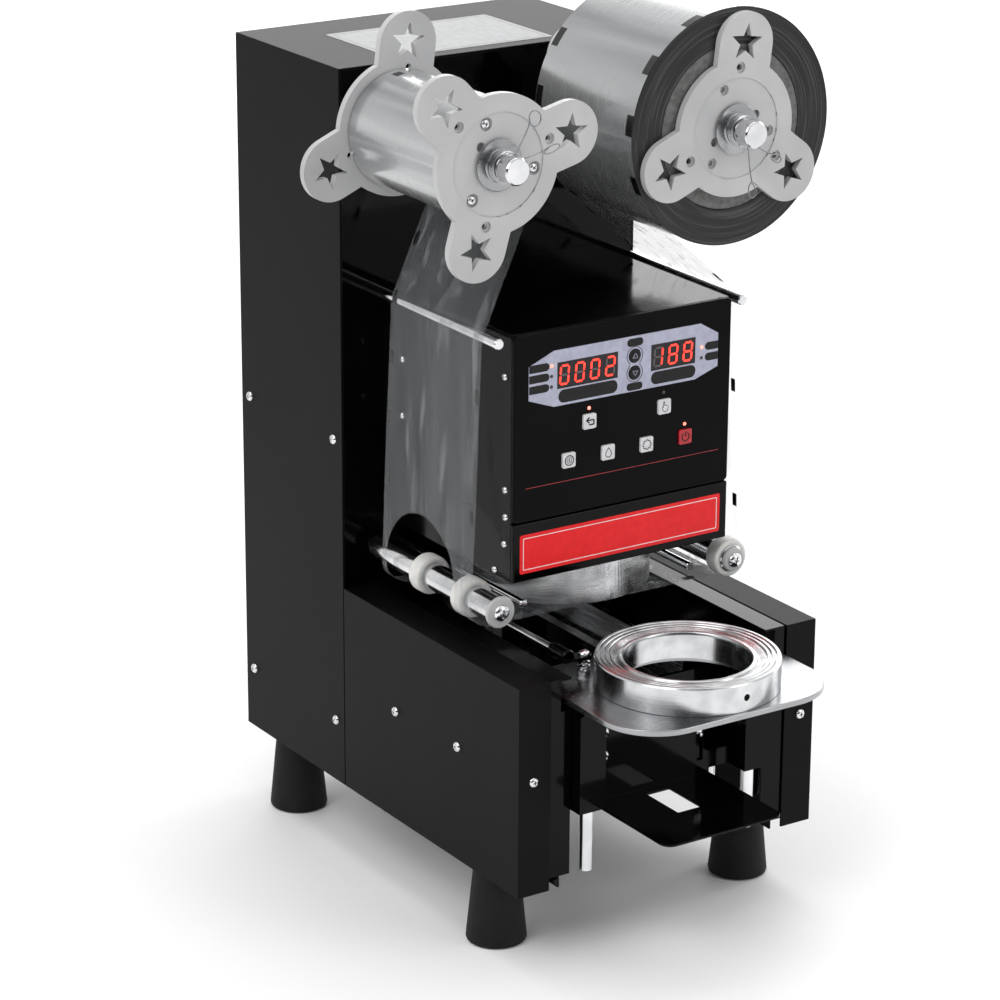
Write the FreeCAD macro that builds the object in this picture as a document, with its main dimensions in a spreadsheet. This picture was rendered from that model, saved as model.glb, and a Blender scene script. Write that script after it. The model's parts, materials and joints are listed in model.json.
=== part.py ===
"""Automatic cup sealing machine: a reel-fed film tower over a sliding cup drawer.

Millimetres, +Z up, the front faces -Y and the origin is on the floor under the middle of the box.
"""
import FreeCAD, Part
import Sketcher
import math
import os
import re

doc = FreeCAD.newDocument("CupSealer")
sheet = doc.addObject("Spreadsheet::Sheet", "Dims")

# Driving dimensions. Every place and size below is worked out from these cells.
driving = {
    # covers: the floor is at zero, the feet lift the body
    "halfWidth": 120,
    "towerFront": 80,
    "towerBack": 218.5,
    "towerTop": 566,
    "bodyBottom": 54,
    "baseTop": 202,
    "baseFront": -141,
    "thick": 1.5,
    "seam": 95,
    "baySide": 78.5,
    "wallFace": 86.5,
    "footRadius": 20.7,
    "footNeck": 15.5,
    "footX": 101,
    # head
    "headHalf": 86.5,
    "headFront": -81.5,
    "headBottom": 249,
    "headTop": 418,
    "panelThick": 3,
    "panelFoot": 290,
    # film reels
    "reelX": 93.2,
    "reelZ": 530,
    "shaftRadius": 9.2,
    "shaftTip": -95,
    "filmFront": -67,
    "filmRear": 47,
    "plateThick": 5,
    "discRadius": 46,
    "lobeReach": 56,
    "lobeRadius": 21.5,
    "starRadius": 13,
    "supplyRadius": 80,
    "woundRadius": 39.5,
    "coreRadius": 38,
    # film path
    "rodX": 97,
    "rodZ": 414,
    "rodRadius": 3.75,
    "rollerX": 95,
    "rollerZ": 230.5,
    "tubeRadius": 9.3,
    "gripRadius": 13.5,
    "axleRadius": 4,
    "rollerFront": -78,
    "rollerRear": 72,
    "stripRodX": 68,
    "stripRodZ": 227,
    "filmThick": 0.3,
    "filmGap": 0.3,
    # sealing die
    "dieY": -6,
    "dieRadius": 63,
    "dieInner": 57,
    "dieBottom": 217,
    # drawer and lifting tray
    "ringY": -159,
    "ringRadius": 61.7,
    "ringTop": 208,
    "ringTall": 20,
    "cupRadius": 42.3,
    "trayHalf": 84,
    "trayThick": 4,
    "trayFront": -223,
    "trayRear": -88,
    "trayCorner": 40,
    "columnX": 66,
    "columnFront": -140,
    "columnRear": -100,
    "columnRadius": 4.5,
    "columnFoot": 62,
    "blockHalf": 9,
    "blockFoot": 107,
    "blockTop": 176,
    "runFit": 0.05,
    "shelfTop": 99,
    "shelfHalf": 48,
    "shelfFront": -206,
    "shelfRear": -121,
    "linkX": -62,
    "linkZ": 202.5,
    "linkRadius": 2.75,
    # drawer drive
    "beltX": -81,
    "beltZ": 171,
    "pulleyRadius": 7,
    "idlerY": -28,
    "driveY": 190,
    "inletX": 91,
}
for row, (alias, value) in enumerate(driving.items(), 1):
    sheet.set(f"A{row}", str(value))
    sheet.setAlias(f"A{row}", alias)
doc.recompute()

nodes = []
aliasPattern = re.compile(r"\b(" + "|".join(driving) + r")\b")


def cells(text):
    """An expression with the sheet's name in front of every alias."""
    return aliasPattern.sub(r"Dims.\1", str(text))


def dim(alias):
    return float(sheet.get(alias))


def place(obj, x, y, z):
    for axis, text in zip("xyz", (x, y, z)):
        obj.setExpression(f"Placement.Base.{axis}", cells(text))


def block(x, y, z, name="Block"):
    """A box between (low, high) pairs of expressions along X, Y and Z."""
    obj = doc.addObject("Part::Box", name)
    for size, (low, high) in zip(("Length", "Width", "Height"), (x, y, z)):
        obj.setExpression(size, cells(f"({high}) - ({low})"))
    place(obj, x[0], y[0], z[0])
    return obj


turnTo = {
    "X": FreeCAD.Rotation(FreeCAD.Vector(0, 1, 0), 90),
    "Y": FreeCAD.Rotation(FreeCAD.Vector(1, 0, 0), -90),
    "Z": FreeCAD.Rotation(),
}


def rod(axis, radius, span, centre, name="Rod"):
    """A cylinder along an axis over span, its centre on the other two axes in X, Y, Z order."""
    obj = doc.addObject("Part::Cylinder", name)
    obj.setExpression("Radius", cells(radius))
    obj.setExpression("Height", cells(f"({span[1]}) - ({span[0]})"))
    obj.Placement = FreeCAD.Placement(FreeCAD.Vector(), turnTo[axis])
    spot = list(centre)
    spot.insert("XYZ".index(axis), span[0])
    place(obj, *spot)
    return obj


def cone(radiusLow, radiusHigh, z, x, y):
    obj = doc.addObject("Part::Cone", "Cone")
    obj.setExpression("Radius1", cells(radiusLow))
    obj.setExpression("Radius2", cells(radiusHigh))
    obj.setExpression("Height", cells(f"({z[1]}) - ({z[0]})"))
    place(obj, x, y, z[0])
    return obj


def join(*items):
    if len(items) == 1:
        return items[0]
    obj = doc.addObject("Part::MultiFuse", "Join")
    obj.Shapes = list(items)
    return obj


def cut(base, *tools):
    obj = doc.addObject("Part::Cut", "Cut")
    obj.Base = base
    obj.Tool = join(*tools)
    return obj


def group(*items):
    """Separate solids that share one node."""
    obj = doc.addObject("Part::Compound", "Group")
    obj.Links = list(items)
    return obj


def solid(shape):
    obj = doc.addObject("Part::Feature", "Solid")
    obj.Shape = shape
    return obj


def keep(label, obj):
    """Names a finished piece, which is then written to its own file."""
    obj.Label = label
    nodes.append(obj)
    return obj


def circleBody(rings, z, x, y):
    """A PartDesign body padded along Z from concentric circles whose radii are bound to the sheet."""
    body = doc.addObject("PartDesign::Body", "RingBody")
    sketch = body.newObject("Sketcher::SketchObject", "RingSketch")
    plane = [f for f in body.Origin.OriginFeatures if f.Role == "XY_Plane"][0]
    sketch.AttachmentSupport = [(plane, "")]
    sketch.MapMode = "FlatFace"
    for index, radius in enumerate(rings):
        circle = Part.Circle(FreeCAD.Vector(), FreeCAD.Vector(0, 0, 1), 10 + index)
        sketch.addGeometry(circle)
        sketch.addConstraint(Sketcher.Constraint("Coincident", index, 3, -1, 1))
        number = sketch.addConstraint(Sketcher.Constraint("Radius", index, 10 + index))
        sketch.setExpression(f"Constraints[{number}]", cells(radius))
    pad = body.newObject("PartDesign::Pad", "RingPad")
    pad.Profile = sketch
    pad.setExpression("Length", cells(f"({z[1]}) - ({z[0]})"))
    sketch.Visibility = False
    place(body, x, y, z[0])
    return body


def roundedPlate(corners, z):
    """A plate from (x, y, corner radius) points in order, as straight sides joined by tangent arcs."""
    edges = []
    points = [FreeCAD.Vector(x, y, 0) for x, y, _ in corners]
    last = None
    first = None
    for index, (_, _, radius) in enumerate(corners):
        here = points[index]
        back = (points[index - 1] - here).normalize()
        ahead = (points[(index + 1) % len(points)] - here).normalize()
        half = back.getAngle(ahead) / 2
        reach = radius / math.tan(half)
        start = here + back * reach
        end = here + ahead * reach
        if last is not None and last.distanceToPoint(start) > 1e-6:
            edges.append(Part.LineSegment(last, start).toShape())
        if radius > 0:
            middle = (back + ahead).normalize() * (radius / math.sin(half) - radius) + here
            edges.append(Part.Arc(start, middle, end).toShape())
        first = first or start
        last = end
    edges.append(Part.LineSegment(last, first).toShape())
    face = Part.Face(Part.Wire(edges))
    face.translate(FreeCAD.Vector(0, 0, z[0]))
    return face.extrude(FreeCAD.Vector(0, 0, z[1] - z[0]))


# ---------------------------------------------------------------- covers and chassis
def towerCover():
    outer = block(("-halfWidth", "halfWidth"), ("towerFront", "towerBack"), ("bodyBottom", "towerTop"))
    inner = block(
        ("thick - halfWidth", "halfWidth - thick"),
        ("towerFront - 1", "towerBack + 1"),
        ("bodyBottom - 1", "towerTop - thick"),
    )
    return cut(outer, inner)


def towerFrontPanel():
    plate = block(
        ("thick - halfWidth + 0.2", "halfWidth - thick - 0.2"),
        ("towerFront + 0.6", "towerFront + 0.6 + thick"),
        ("bodyBottom + 3", "towerTop - thick - 0.2"),
    )
    reach = ("towerFront - 2", "towerFront + 6")
    bay = block(("-wallFace - 2.2", "wallFace + 2.2"), reach, ("bodyBottom", "baseTop - 0.4"))
    linkSlot = block(("linkX - 8", "linkX + 8"), reach, ("baseTop - 4", "linkZ + 14"))
    tools = [bay, linkSlot]
    for side in (-1, 1):
        tools.append(rod("Y", "shaftRadius + 0.05", reach, (f"{side} * reelX", "reelZ")))
        tools.append(rod("Y", "rodRadius + 0.05", reach, (f"{side} * rodX", "rodZ")))
        tools.append(rod("Y", "axleRadius + 0.05", reach, (f"{side} * rollerX", "rollerZ")))
        tools.append(rod("Y", 3.05, reach, (f"{side} * stripRodX", "stripRodZ")))
    return cut(plate, *tools)


def towerBackPanel():
    plate = block(
        ("thick - halfWidth + 0.2", "halfWidth - thick - 0.2"),
        ("towerBack - 2.5", "towerBack - 2.5 + thick"),
        ("bodyBottom + 3", "towerTop - thick - 0.2"),
    )
    reach = ("towerBack - 6", "towerBack + 4")
    tools = [block(("inletX - 14", "inletX + 14"), reach, (84, 130.5))]
    for row in range(8):
        low = 420 + 14 * row
        tools.append(block((-60, 60), reach, (low, low + 5)))
    return cut(plate, *tools)


def chassis():
    """Welded inner frame: bay walls, front flanges, strips, the tower's floor and the idler pin."""
    floorPlate = block(
        ("-halfWidth + 3", "halfWidth - 3"),
        ("towerFront + 3", "towerBack - 4"),
        ("bodyBottom", "bodyBottom + 2"),
    )
    idlerPin = rod("X", 2.5, ("-wallFace - 0.5", "beltX + 3"), ("idlerY", "beltZ"))
    pieces = [floorPlate, idlerPin]
    for side in (-1, 1):
        wallX = sorted((side * 86.5, side * 88))
        flangeX = sorted((side * dim("baySide"), side * (dim("seam") - 0.4)))
        lowX = sorted((side * 87, side * 117))
        flangeY = ("baseFront + 1.6", "baseFront + 3.1")
        flange = block(flangeX, flangeY, ("bodyBottom + 8", "baseTop - 0.4"))
        # the tray passes under the top strip here
        notchX = sorted((side * 77, side * 86.5))
        notchZ = ("ringTop - ringTall - 9", "baseTop - 1.9")
        notch = block(notchX, ("baseFront - 3", "baseFront + 5"), notchZ)
        pieces.append(block(wallX, ("baseFront + 1.6", "towerBack - 60"), ("bodyBottom", "baseTop - 1.9")))
        pieces.append(cut(flange, notch))
        pieces.append(block(flangeX, ("baseFront + 1.6", "towerFront"), ("baseTop - 1.9", "baseTop - 0.4")))
        pieces.append(block(lowX, ("baseFront + 12", "towerFront + 5"), ("bodyBottom", "bodyBottom + 1.5")))
    return join(*pieces)


def baseCover(side):
    """Outer side sheet with its top strip and front flange."""
    outerX = sorted((side * dim("halfWidth"), side * (dim("seam") + 0.4)))
    innerX = sorted((side * 118.5, side * 90))
    outer = block(outerX, ("baseFront", "towerFront - 0.6"), ("bodyBottom", "baseTop"))
    inner = block(innerX, ("baseFront + thick", "towerFront + 5"), ("bodyBottom - 2", "baseTop - thick"))
    return cut(outer, inner)


def rubberFeet():
    feet = []
    for x in ("-footX", "footX"):
        for y in ("baseFront + 55", "towerBack - 40"):
            body = cone("footRadius", "footNeck", (0, "bodyBottom"), x, y)
            screwBore = rod("Z", 7, (-1, 30), (x, y))
            feet.append(cut(body, screwBore))
    return group(*feet)


def panScrew(axis, sign, face, centre, radius=3.6):
    """A pan head standing on a face, with a short shank inside it."""
    head = (face, f"({face}) + 2.2") if sign > 0 else (f"({face}) - 2.2", face)
    return rod(axis, radius, head, centre)


headScrews = ((-71, 388.5), (-72, 311.6), (-72.6, 293), (-71.4, 274), (-60, 252.8), (55, 368), (55.6, 328))


def coverScrews():
    screws = []
    for side in (-1, 1):
        towerFace = f"{side} * halfWidth"
        for z in (100, 307):
            screws.append(panScrew("X", side, towerFace, ("towerFront + 11", z)))
            screws.append(panScrew("X", side, towerFace, ("towerBack - 12", z)))
        for y, z in ((11.4, 134), (-66.8, 136)):
            screws.append(panScrew("X", side, towerFace, (y, z)))
        headFace = f"{side} * headHalf"
        for y, z in headScrews:
            screws.append(panScrew("X", side, headFace, (y, z), 2.6))
        screws.append(panScrew("Y", -1, "baseFront", (f"{side} * 108.6", 135)))
    return group(*screws)


keep("tower_cover", towerCover())
keep("tower_front_panel", towerFrontPanel())
keep("tower_back_panel", towerBackPanel())
keep("chassis", chassis())
keep("base_cover_left", baseCover(-1))
keep("base_cover_right", baseCover(1))
keep("rubber_feet", rubberFeet())
keep("cover_screws", coverScrews())


# ---------------------------------------------------------------- head and control panel
def headShell():
    outer = block(
        ("-headHalf", "headHalf"),
        ("headFront + panelThick", "towerFront + 0.6"),
        ("headBottom", "headTop"),
    )
    inner = block(
        ("thick - headHalf", "headHalf - thick"),
        ("headFront", "towerFront + 2"),
        ("headBottom + thick", "headTop - thick"),
    )
    dieHole = rod("Z", "dieRadius + 1", ("headBottom - 2", "headBottom + 3"), (0, "dieY"))
    return cut(outer, inner, dieHole)


keyHalf = 5.2
roundKeys = {"up_button": (7.8, 390.4), "down_button": (7.8, 378.8)}
squareKeys = {
    "return_key": (-27.7, 351.4),
    "hand_key": (32.3, 351.4),
    "count_key": (-43.8, 327.4),
    "drop_key": (-12.6, 327.4),
    "set_key": (18.4, 327.4),
    "power_key": (49.9, 327.4),
}


def controlPanel():
    depth = ("headFront", "headFront + panelThick")
    plate = block(("-headHalf", "headHalf"), depth, ("panelFoot", "headTop"))
    reach = ("headFront - 2", "headFront + panelThick + 2")
    tools = [block((-53.5, -5.5), reach, (377.5, 395.5)), block((21, 57), reach, (377.5, 395.5))]
    for x, z in roundKeys.values():
        tools.append(rod("Y", 4.8, reach, (x, z)))
    half = keyHalf + 0.3
    for x, z in squareKeys.values():
        tools.append(block((x - half, x + half), reach, (z - half, z + half)))
    return cut(plate, *tools)


def frontStrip():
    depth = ("headFront", "headFront + panelThick")
    return block(("-headHalf", "headHalf"), depth, ("headBottom", "panelFoot - 0.8"))


def displayWindow():
    """Eight-sided lens sheet over both readouts, open round the two arrow buttons."""
    outline = (
        (-75.5, 373), (-56, 366), (57, 366), (75.5, 372.5),
        (75.5, 395.5), (61, 404), (-56, 404), (-75.5, 396),
    )
    points = [FreeCAD.Vector(x, 0, z) for x, z in outline]
    face = Part.Face(Part.makePolygon(points + points[:1]))
    sheetShape = face.extrude(FreeCAD.Vector(0, -0.6, 0))
    for x, z in roundKeys.values():
        hole = Part.makeCylinder(4.9, 4, FreeCAD.Vector(x, -2, z), FreeCAD.Vector(0, 1, 0))
        sheetShape = sheetShape.cut(hole)
    obj = solid(sheetShape)
    place(obj, 0, "headFront", 0)
    return obj


def keyCap(x, z, isRound):
    """A cap that stands 0.9 mm proud, on a stem that ends at its switch."""
    front = ("headFront - 1.4", "headFront + panelThick + 3")
    if isRound:
        return rod("Y", 4.5, front, (x, z))
    return block((x - keyHalf, x + keyHalf), front, (z - keyHalf, z + keyHalf))


keep("head_shell", headShell())
keep("control_panel", controlPanel())
keep("front_strip", frontStrip())
keep("display_window", displayWindow())


def controlBoard():
    """Circuit board with both readout modules and a tactile switch behind each key."""
    board = ("headFront + 11", "headFront + 12.6")
    pieces = [
        block((-70, 70), board, (312, 408)),
        block((-53, -6), ("headFront + 1", board[0]), (378, 395)),
        block((21.5, 56.5), ("headFront + 1", board[0]), (378, 395)),
    ]
    for x, z in list(roundKeys.values()) + list(squareKeys.values()):
        pieces.append(rod("Y", 3, ("headFront + panelThick + 3.9", board[0]), (x, z)))
    return join(*pieces)


keep("control_board", controlBoard())
for name, (x, z) in roundKeys.items():
    keep(name, keyCap(x, z, True))
for name, (x, z) in squareKeys.items():
    keep(name, keyCap(x, z, False))


# ---------------------------------------------------------------- sealing die in the head
dieRim = circleBody(("dieRadius", "dieInner"), ("dieBottom", "headBottom + 20"), 0, "dieY")
dieCap = circleBody(("dieRadius", 9), ("headBottom + 20", "headBottom + 26"), 0, "dieY")
diePosts = [
    rod("Z", 5, ("headBottom + 26", "headTop - thick"), (x, f"dieY + {y}"))
    for x in (-44, 44)
    for y in (-30, 30)
]
keep("die_ring", join(dieRim, dieCap, *diePosts))
cutterSpan = ("dieBottom + 1.5", "headBottom + 19")
keep("cutter_ring", circleBody(("dieInner - 0.5", "dieInner - 3"), cutterSpan, 0, "dieY"))
keep("heater_plate", join(
    circleBody(("dieInner - 5",), ("dieBottom + 1", "dieBottom + 15"), 0, "dieY"),
    rod("Z", 8, ("dieBottom + 14", "headBottom + 40"), (0, "dieY")),
))


# ---------------------------------------------------------------- reels
def starPlate(hubDepth, boreRadius, lobeAngle):
    """A reel plate with three round-ended arms, a star cut-out in each, and a hub inside the film core."""
    thickness = dim("plateThick")
    reach = dim("lobeReach")
    axis = FreeCAD.Vector(0, 1, 0)
    origin = FreeCAD.Vector(0, 0, 0)
    plate = Part.makeCylinder(dim("discRadius"), thickness, origin, axis)
    hubStart = FreeCAD.Vector(0, min(0, hubDepth), 0)
    hub = Part.makeCylinder(dim("coreRadius") - 3.3, thickness + abs(hubDepth), hubStart, axis)
    plate = plate.fuse(hub)
    for index in range(3):
        angle = math.radians(lobeAngle + 120 * index)
        out = FreeCAD.Vector(math.cos(angle), 0, math.sin(angle))
        lobe = Part.makeCylinder(dim("lobeRadius"), thickness, out * reach, axis)
        beside = out.cross(axis) * dim("lobeRadius")
        corners = [beside, out * reach + beside, out * reach - beside, beside * -1, beside]
        neck = Part.Face(Part.makePolygon(corners)).extrude(FreeCAD.Vector(0, thickness, 0))
        star = []
        for tip in range(10):
            size = dim("starRadius") * (1 if tip % 2 == 0 else 0.42)
            turn = angle + math.pi * tip / 5
            star.append(out * (reach + 1) + FreeCAD.Vector(math.cos(turn), 0, math.sin(turn)) * size)
        prism = Part.Face(Part.makePolygon(star + star[:1])).extrude(FreeCAD.Vector(0, thickness, 0))
        plate = plate.fuse([lobe, neck]).cut(prism)
    bore = Part.makeCylinder(boreRadius, 80, FreeCAD.Vector(0, -40, 0), axis)
    obj = solid(plate.cut(bore).removeSplitter())
    return obj


def hairpinClip(side, turn):
    """A spring clip: a straight leg through the shaft, a loop, and a bowed leg beside it."""
    wire = 0.8
    path = Part.Wire([
        Part.LineSegment(FreeCAD.Vector(-11, 0, 0), FreeCAD.Vector(24, 0, 0)).toShape(),
        Part.Arc(FreeCAD.Vector(24, 0, 0), FreeCAD.Vector(29, 0, -5), FreeCAD.Vector(24, 0, -10)).toShape(),
        Part.LineSegment(FreeCAD.Vector(24, 0, -10), FreeCAD.Vector(8, 0, -10)).toShape(),
    ])
    profile = Part.Wire([Part.Circle(FreeCAD.Vector(-11, 0, 0), FreeCAD.Vector(1, 0, 0), wire).toShape()])
    clip = path.makePipeShell([profile], True, False)
    clip.rotate(FreeCAD.Vector(), FreeCAD.Vector(0, 1, 0), turn)
    obj = solid(clip)
    place(obj, f"{side} * reelX", "shaftTip + 8", "reelZ")
    return obj


def reelShaft(side, rear):
    shaft = rod("Y", "shaftRadius", ("shaftTip", rear), (f"{side} * reelX", "reelZ"))
    hole = Part.makeCylinder(0.9, 40, FreeCAD.Vector(-20, 0, 0), FreeCAD.Vector(1, 0, 0))
    hole.rotate(FreeCAD.Vector(), FreeCAD.Vector(0, 1, 0), clipTurn[side])
    drill = solid(hole)
    place(drill, f"{side} * reelX", "shaftTip + 8", "reelZ")
    collar = rod("Y", 13, ("filmRear + 7", "filmRear + 17"), (f"{side} * reelX", "reelZ"))
    return join(cut(shaft, drill), collar)


def filmRoll(side, radius):
    roll = rod("Y", radius, ("filmFront + 0.1", "filmRear - 0.1"), (f"{side} * reelX", "reelZ"))
    bore = rod("Y", "coreRadius - 3.2", ("filmFront - 1", "filmRear + 1"), (f"{side} * reelX", "reelZ"))
    return cut(roll, bore)


clipTurn = {-1: -35, 1: 50}
plateParts = {
    "take_up_front_plate": (-1, "filmFront - plateThick", 12, 14, 0),
    "take_up_rear_plate": (-1, "filmRear", -12, 203 - 120, 0),
    "supply_front_plate": (1, "filmFront - plateThick", 12, 83, 0.08),
    "supply_rear_plate": (1, "filmRear", -12, 25, 0.08),
}
for name, (side, front, hubDepth, lobeAngle, slack) in plateParts.items():
    piece = starPlate(hubDepth, dim("shaftRadius") + slack, lobeAngle)
    place(piece, f"{side} * reelX", front, "reelZ")
    keep(name, piece)
keep("take_up_shaft", reelShaft(-1, "towerFront + 65"))
keep("supply_shaft", reelShaft(1, "towerFront + 20"))
keep("take_up_clip", hairpinClip(-1, clipTurn[-1]))
keep("supply_clip", hairpinClip(1, clipTurn[1]))
keep("wound_film", filmRoll(-1, "woundRadius"))
keep("supply_film", filmRoll(1, "supplyRadius"))


# ---------------------------------------------------------------- film path
def filmRods():
    rods = []
    for side in (-1, 1):
        high = (f"{side} * rodX", "rodZ")
        rods.append(rod("Y", "rodRadius", ("headFront + 1.5", "towerFront + 8"), high))
        low = (f"{side} * stripRodX", "stripRodZ")
        rods.append(rod("Y", 3, ("filmFront", "towerFront + 8"), low))
    return group(*rods)


def rollerAxles():
    """Fixed axles, each with a washer and a pan screw at the front end."""
    axles = []
    for side in (-1, 1):
        centre = (f"{side} * rollerX", "rollerZ")
        axle = rod("Y", "axleRadius", ("rollerFront - 0.5", "towerFront + 8"), centre)
        washer = rod("Y", 11, ("rollerFront - 3", "rollerFront - 0.4"), centre)
        screw = rod("Y", 6, ("rollerFront - 6", "rollerFront - 3"), centre)
        axles.append(join(axle, washer, screw))
    return group(*axles)


def rollerTube(side):
    centre = (f"{side} * rollerX", "rollerZ")
    tube = rod("Y", "tubeRadius", ("rollerFront", "rollerRear"), centre)
    return cut(tube, rod("Y", "axleRadius + 0.08", ("rollerFront - 1", "rollerRear + 1"), centre))


def rollerGrips(side, starts):
    grips = []
    centre = (f"{side} * rollerX", "rollerZ")
    for start in starts:
        grip = rod("Y", "gripRadius", (start, start + 12), centre)
        grips.append(cut(grip, rod("Y", "tubeRadius", (start - 1, start + 13), centre)))
    return group(*grips)


def tangentPoints(one, two):
    """Where a line leaves circle one and meets circle two; a positive radius keeps its circle on the left."""
    (x1, z1, r1), (x2, z2, r2) = one, two
    dx, dz = x2 - x1, z2 - z1
    length = math.hypot(dx, dz)
    heading = math.atan2(dz, dx) - math.asin((r2 - r1) / length)
    right = (math.sin(heading), -math.cos(heading))
    return (x1 + right[0] * r1, z1 + right[1] * r1), (x2 + right[0] * r2, z2 + right[1] * r2)


def filmEdges(circles):
    """Lines and arcs of one face of the film round a chain of signed circles."""
    stretches = [tangentPoints(a, b) for a, b in zip(circles, circles[1:])]
    edges = []
    for index, (start, end) in enumerate(stretches):
        a = FreeCAD.Vector(start[0], 0, start[1])
        b = FreeCAD.Vector(end[0], 0, end[1])
        edges.append(Part.LineSegment(a, b).toShape())
        if index + 1 < len(stretches):
            x, z, radius = circles[index + 1]
            after = FreeCAD.Vector(stretches[index + 1][0][0], 0, stretches[index + 1][0][1])
            centre = FreeCAD.Vector(x, 0, z)
            middle = centre + ((b + after) * 0.5 - centre).normalize() * abs(radius)
            edges.append(Part.Arc(b, middle, after).toShape())
    return edges


def filmWeb():
    """The film from the take-up reel, round the rods and rollers under the die, to the supply roll."""
    gap = dim("filmGap")
    faces = []
    for leftSide, rightSide in ((gap, gap + dim("filmThick")), (gap + dim("filmThick"), gap)):
        circles = []
        for side in (-1, 1):
            reel = dim("woundRadius") if side < 0 else dim("supplyRadius")
            stops = [
                (side * dim("reelX"), dim("reelZ"), -(reel + rightSide)),
                (side * dim("rodX"), dim("rodZ"), dim("rodRadius") + leftSide),
                (side * dim("rollerX"), dim("rollerZ"), dim("gripRadius") + leftSide),
            ]
            circles += stops if side < 0 else stops[::-1]
        faces.append(filmEdges(circles))
    ends = []
    for edge, corner in ((0, 0), (-1, 1)):
        ends.append([face[edge].Vertexes[corner].Point for face in faces])
    caps = [Part.LineSegment(*pair).toShape() for pair in ends]
    outline = Part.Wire(Part.__sortEdges__(faces[0] + faces[1] + caps))
    film = Part.Face(outline).extrude(FreeCAD.Vector(0, dim("filmRear") - dim("filmFront") - 2, 0))
    obj = solid(film)
    place(obj, 0, "filmFront + 1", 0)
    return obj


keep("film_rods", filmRods())
keep("roller_axles", rollerAxles())
keep("roller_left", rollerTube(-1))
keep("roller_left_grips", rollerGrips(-1, (-50, 2)))
keep("roller_right", rollerTube(1))
keep("roller_right_grips", rollerGrips(1, (-77, 26)))
keep("film_web", filmWeb())


# ---------------------------------------------------------------- tray that lifts the cup
def trayPlate():
    half = dim("trayHalf")
    corner = dim("trayCorner")
    outline = (
        (-half, dim("trayFront"), corner), (half, dim("trayFront"), corner),
        (half, dim("trayRear"), 3), (-half, dim("trayRear"), 3),
    )
    top = dim("ringTop") - dim("ringTall")
    plate = roundedPlate(outline, (top - dim("trayThick"), top))
    hole = Part.makeCylinder(dim("cupRadius") + 4, 20, FreeCAD.Vector(0, dim("ringY"), top - 10))
    return solid(plate.cut(hole))


def cupRing():
    """Stepped steel ring: nested cup adapters drop into its bore."""
    body = circleBody(("ringRadius", "cupRadius"), ("ringTop - ringTall", "ringTop"), 0, "ringY")
    grooves = []
    for outer in (56.2, 51.4):
        ring = rod("Z", outer, ("ringTop - 0.9", "ringTop + 1"), (0, "ringY"))
        plug = rod("Z", outer - 0.8, ("ringTop - 2", "ringTop + 2"), (0, "ringY"))
        grooves.append(cut(ring, plug))
    grooves.append(rod("Z", 46.8, ("ringTop - 3", "ringTop + 1"), (0, "ringY")))
    return cut(body, *grooves)


def guideColumns():
    columns = []
    for x in ("-columnX", "columnX"):
        for y in ("columnFront", "columnRear"):
            columns.append(rod("Z", "columnRadius", ("columnFoot", "ringTop - ringTall - trayThick"), (x, y)))
    return group(*columns)


def linkRod():
    """Draw rod with its joint head at the tray's stud and a collar held by the belt clamp."""
    centre = ("linkX", "linkZ")
    shaft = rod("Y", "linkRadius", (-106, 14), centre)
    head = rod("Y", 5, (-112, -92), centre)
    arm = block(("linkX", "linkX + 15"), (-114, -108), ("linkZ - 3", "linkZ - 0.5"))
    collar = rod("Y", 4.2, (2, 5), centre)
    return join(shaft, head, arm, collar)


def linkStud():
    spot = ("linkX + 12.5", -111)
    top = "ringTop - ringTall"
    return join(
        rod("Z", 2, (top, "linkZ + 3"), spot),
        rod("Z", 4.2, (top, f"{top} + 4"), spot),
        rod("Z", 3.6, (f"{top} + 5", f"{top} + 9"), spot),
        rod("Z", 4.2, (f"{top} + 9.6", "linkZ - 3"), spot),
        rod("Z", 4.2, ("linkZ - 0.5", "linkZ + 2"), spot),
    )


keep("tray_plate", trayPlate())
keep("cup_ring", cupRing())
keep("guide_columns", guideColumns())
keep("link_stud", linkStud())
keep("link_rod", cut(linkRod(), rod("Z", 2, ("linkZ - 5", "linkZ + 5"), ("linkX + 12.5", -111))))


# ---------------------------------------------------------------- drawer carriage
def drawerCarriage():
    pieces = [block((-75, 75), (-119, -116), ("blockFoot - 6", "blockTop"))]
    bores = []
    for side in (-1, 1):
        plateX = sorted((side * 74.9, side * 77.4))
        runnerX = sorted((side * 77.4, side * 83.4))
        pieces.append(block(plateX, (-149, -52), ("blockFoot", "blockTop")))
        pieces.append(block(runnerX, (-134, -52), (128, 146)))
        for y in ("columnFront", "columnRear"):
            column = (f"{side} * columnX", y)
            x = (f"{side} * columnX - blockHalf", f"{side} * columnX + blockHalf")
            pieces.append(block(x, (f"{y} - blockHalf", f"{y} + blockHalf"), ("blockFoot", "blockTop")))
            bores.append(rod("Z", "columnRadius + runFit", ("blockFoot - 9", "blockTop + 4"), column))
    clampArm = block((-77.4, -74.9), (-60, 12), (158, 176))
    return cut(join(*pieces, clampArm), *bores)


def cupShelf():
    """L-shaped shelf under the cup: the upright leg has two height slots."""
    foot = dim("shelfTop") - 1.5
    half = dim("shelfHalf")
    outline = (
        (-half, dim("shelfFront"), 8), (half, dim("shelfFront"), 8),
        (half, dim("shelfRear"), 0), (-half, dim("shelfRear"), 0),
    )
    shelf = roundedPlate(outline, (foot, foot + 1.5))
    upright = Part.makeBox(2 * half, 1.5, 66, FreeCAD.Vector(-half, dim("shelfRear"), foot))
    window = Part.makeBox(18.6, 36.5, 10, FreeCAD.Vector(-9.3, -165, foot - 4))
    shape = shelf.fuse(upright).cut(window)
    for side in (-1, 1):
        slot = Part.makeBox(4.4, 8, 44, FreeCAD.Vector(side * 40 - 2.2, dim("shelfRear") - 3, foot + 12))
        shape = shape.cut(slot)
    return solid(shape.removeSplitter())


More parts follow.
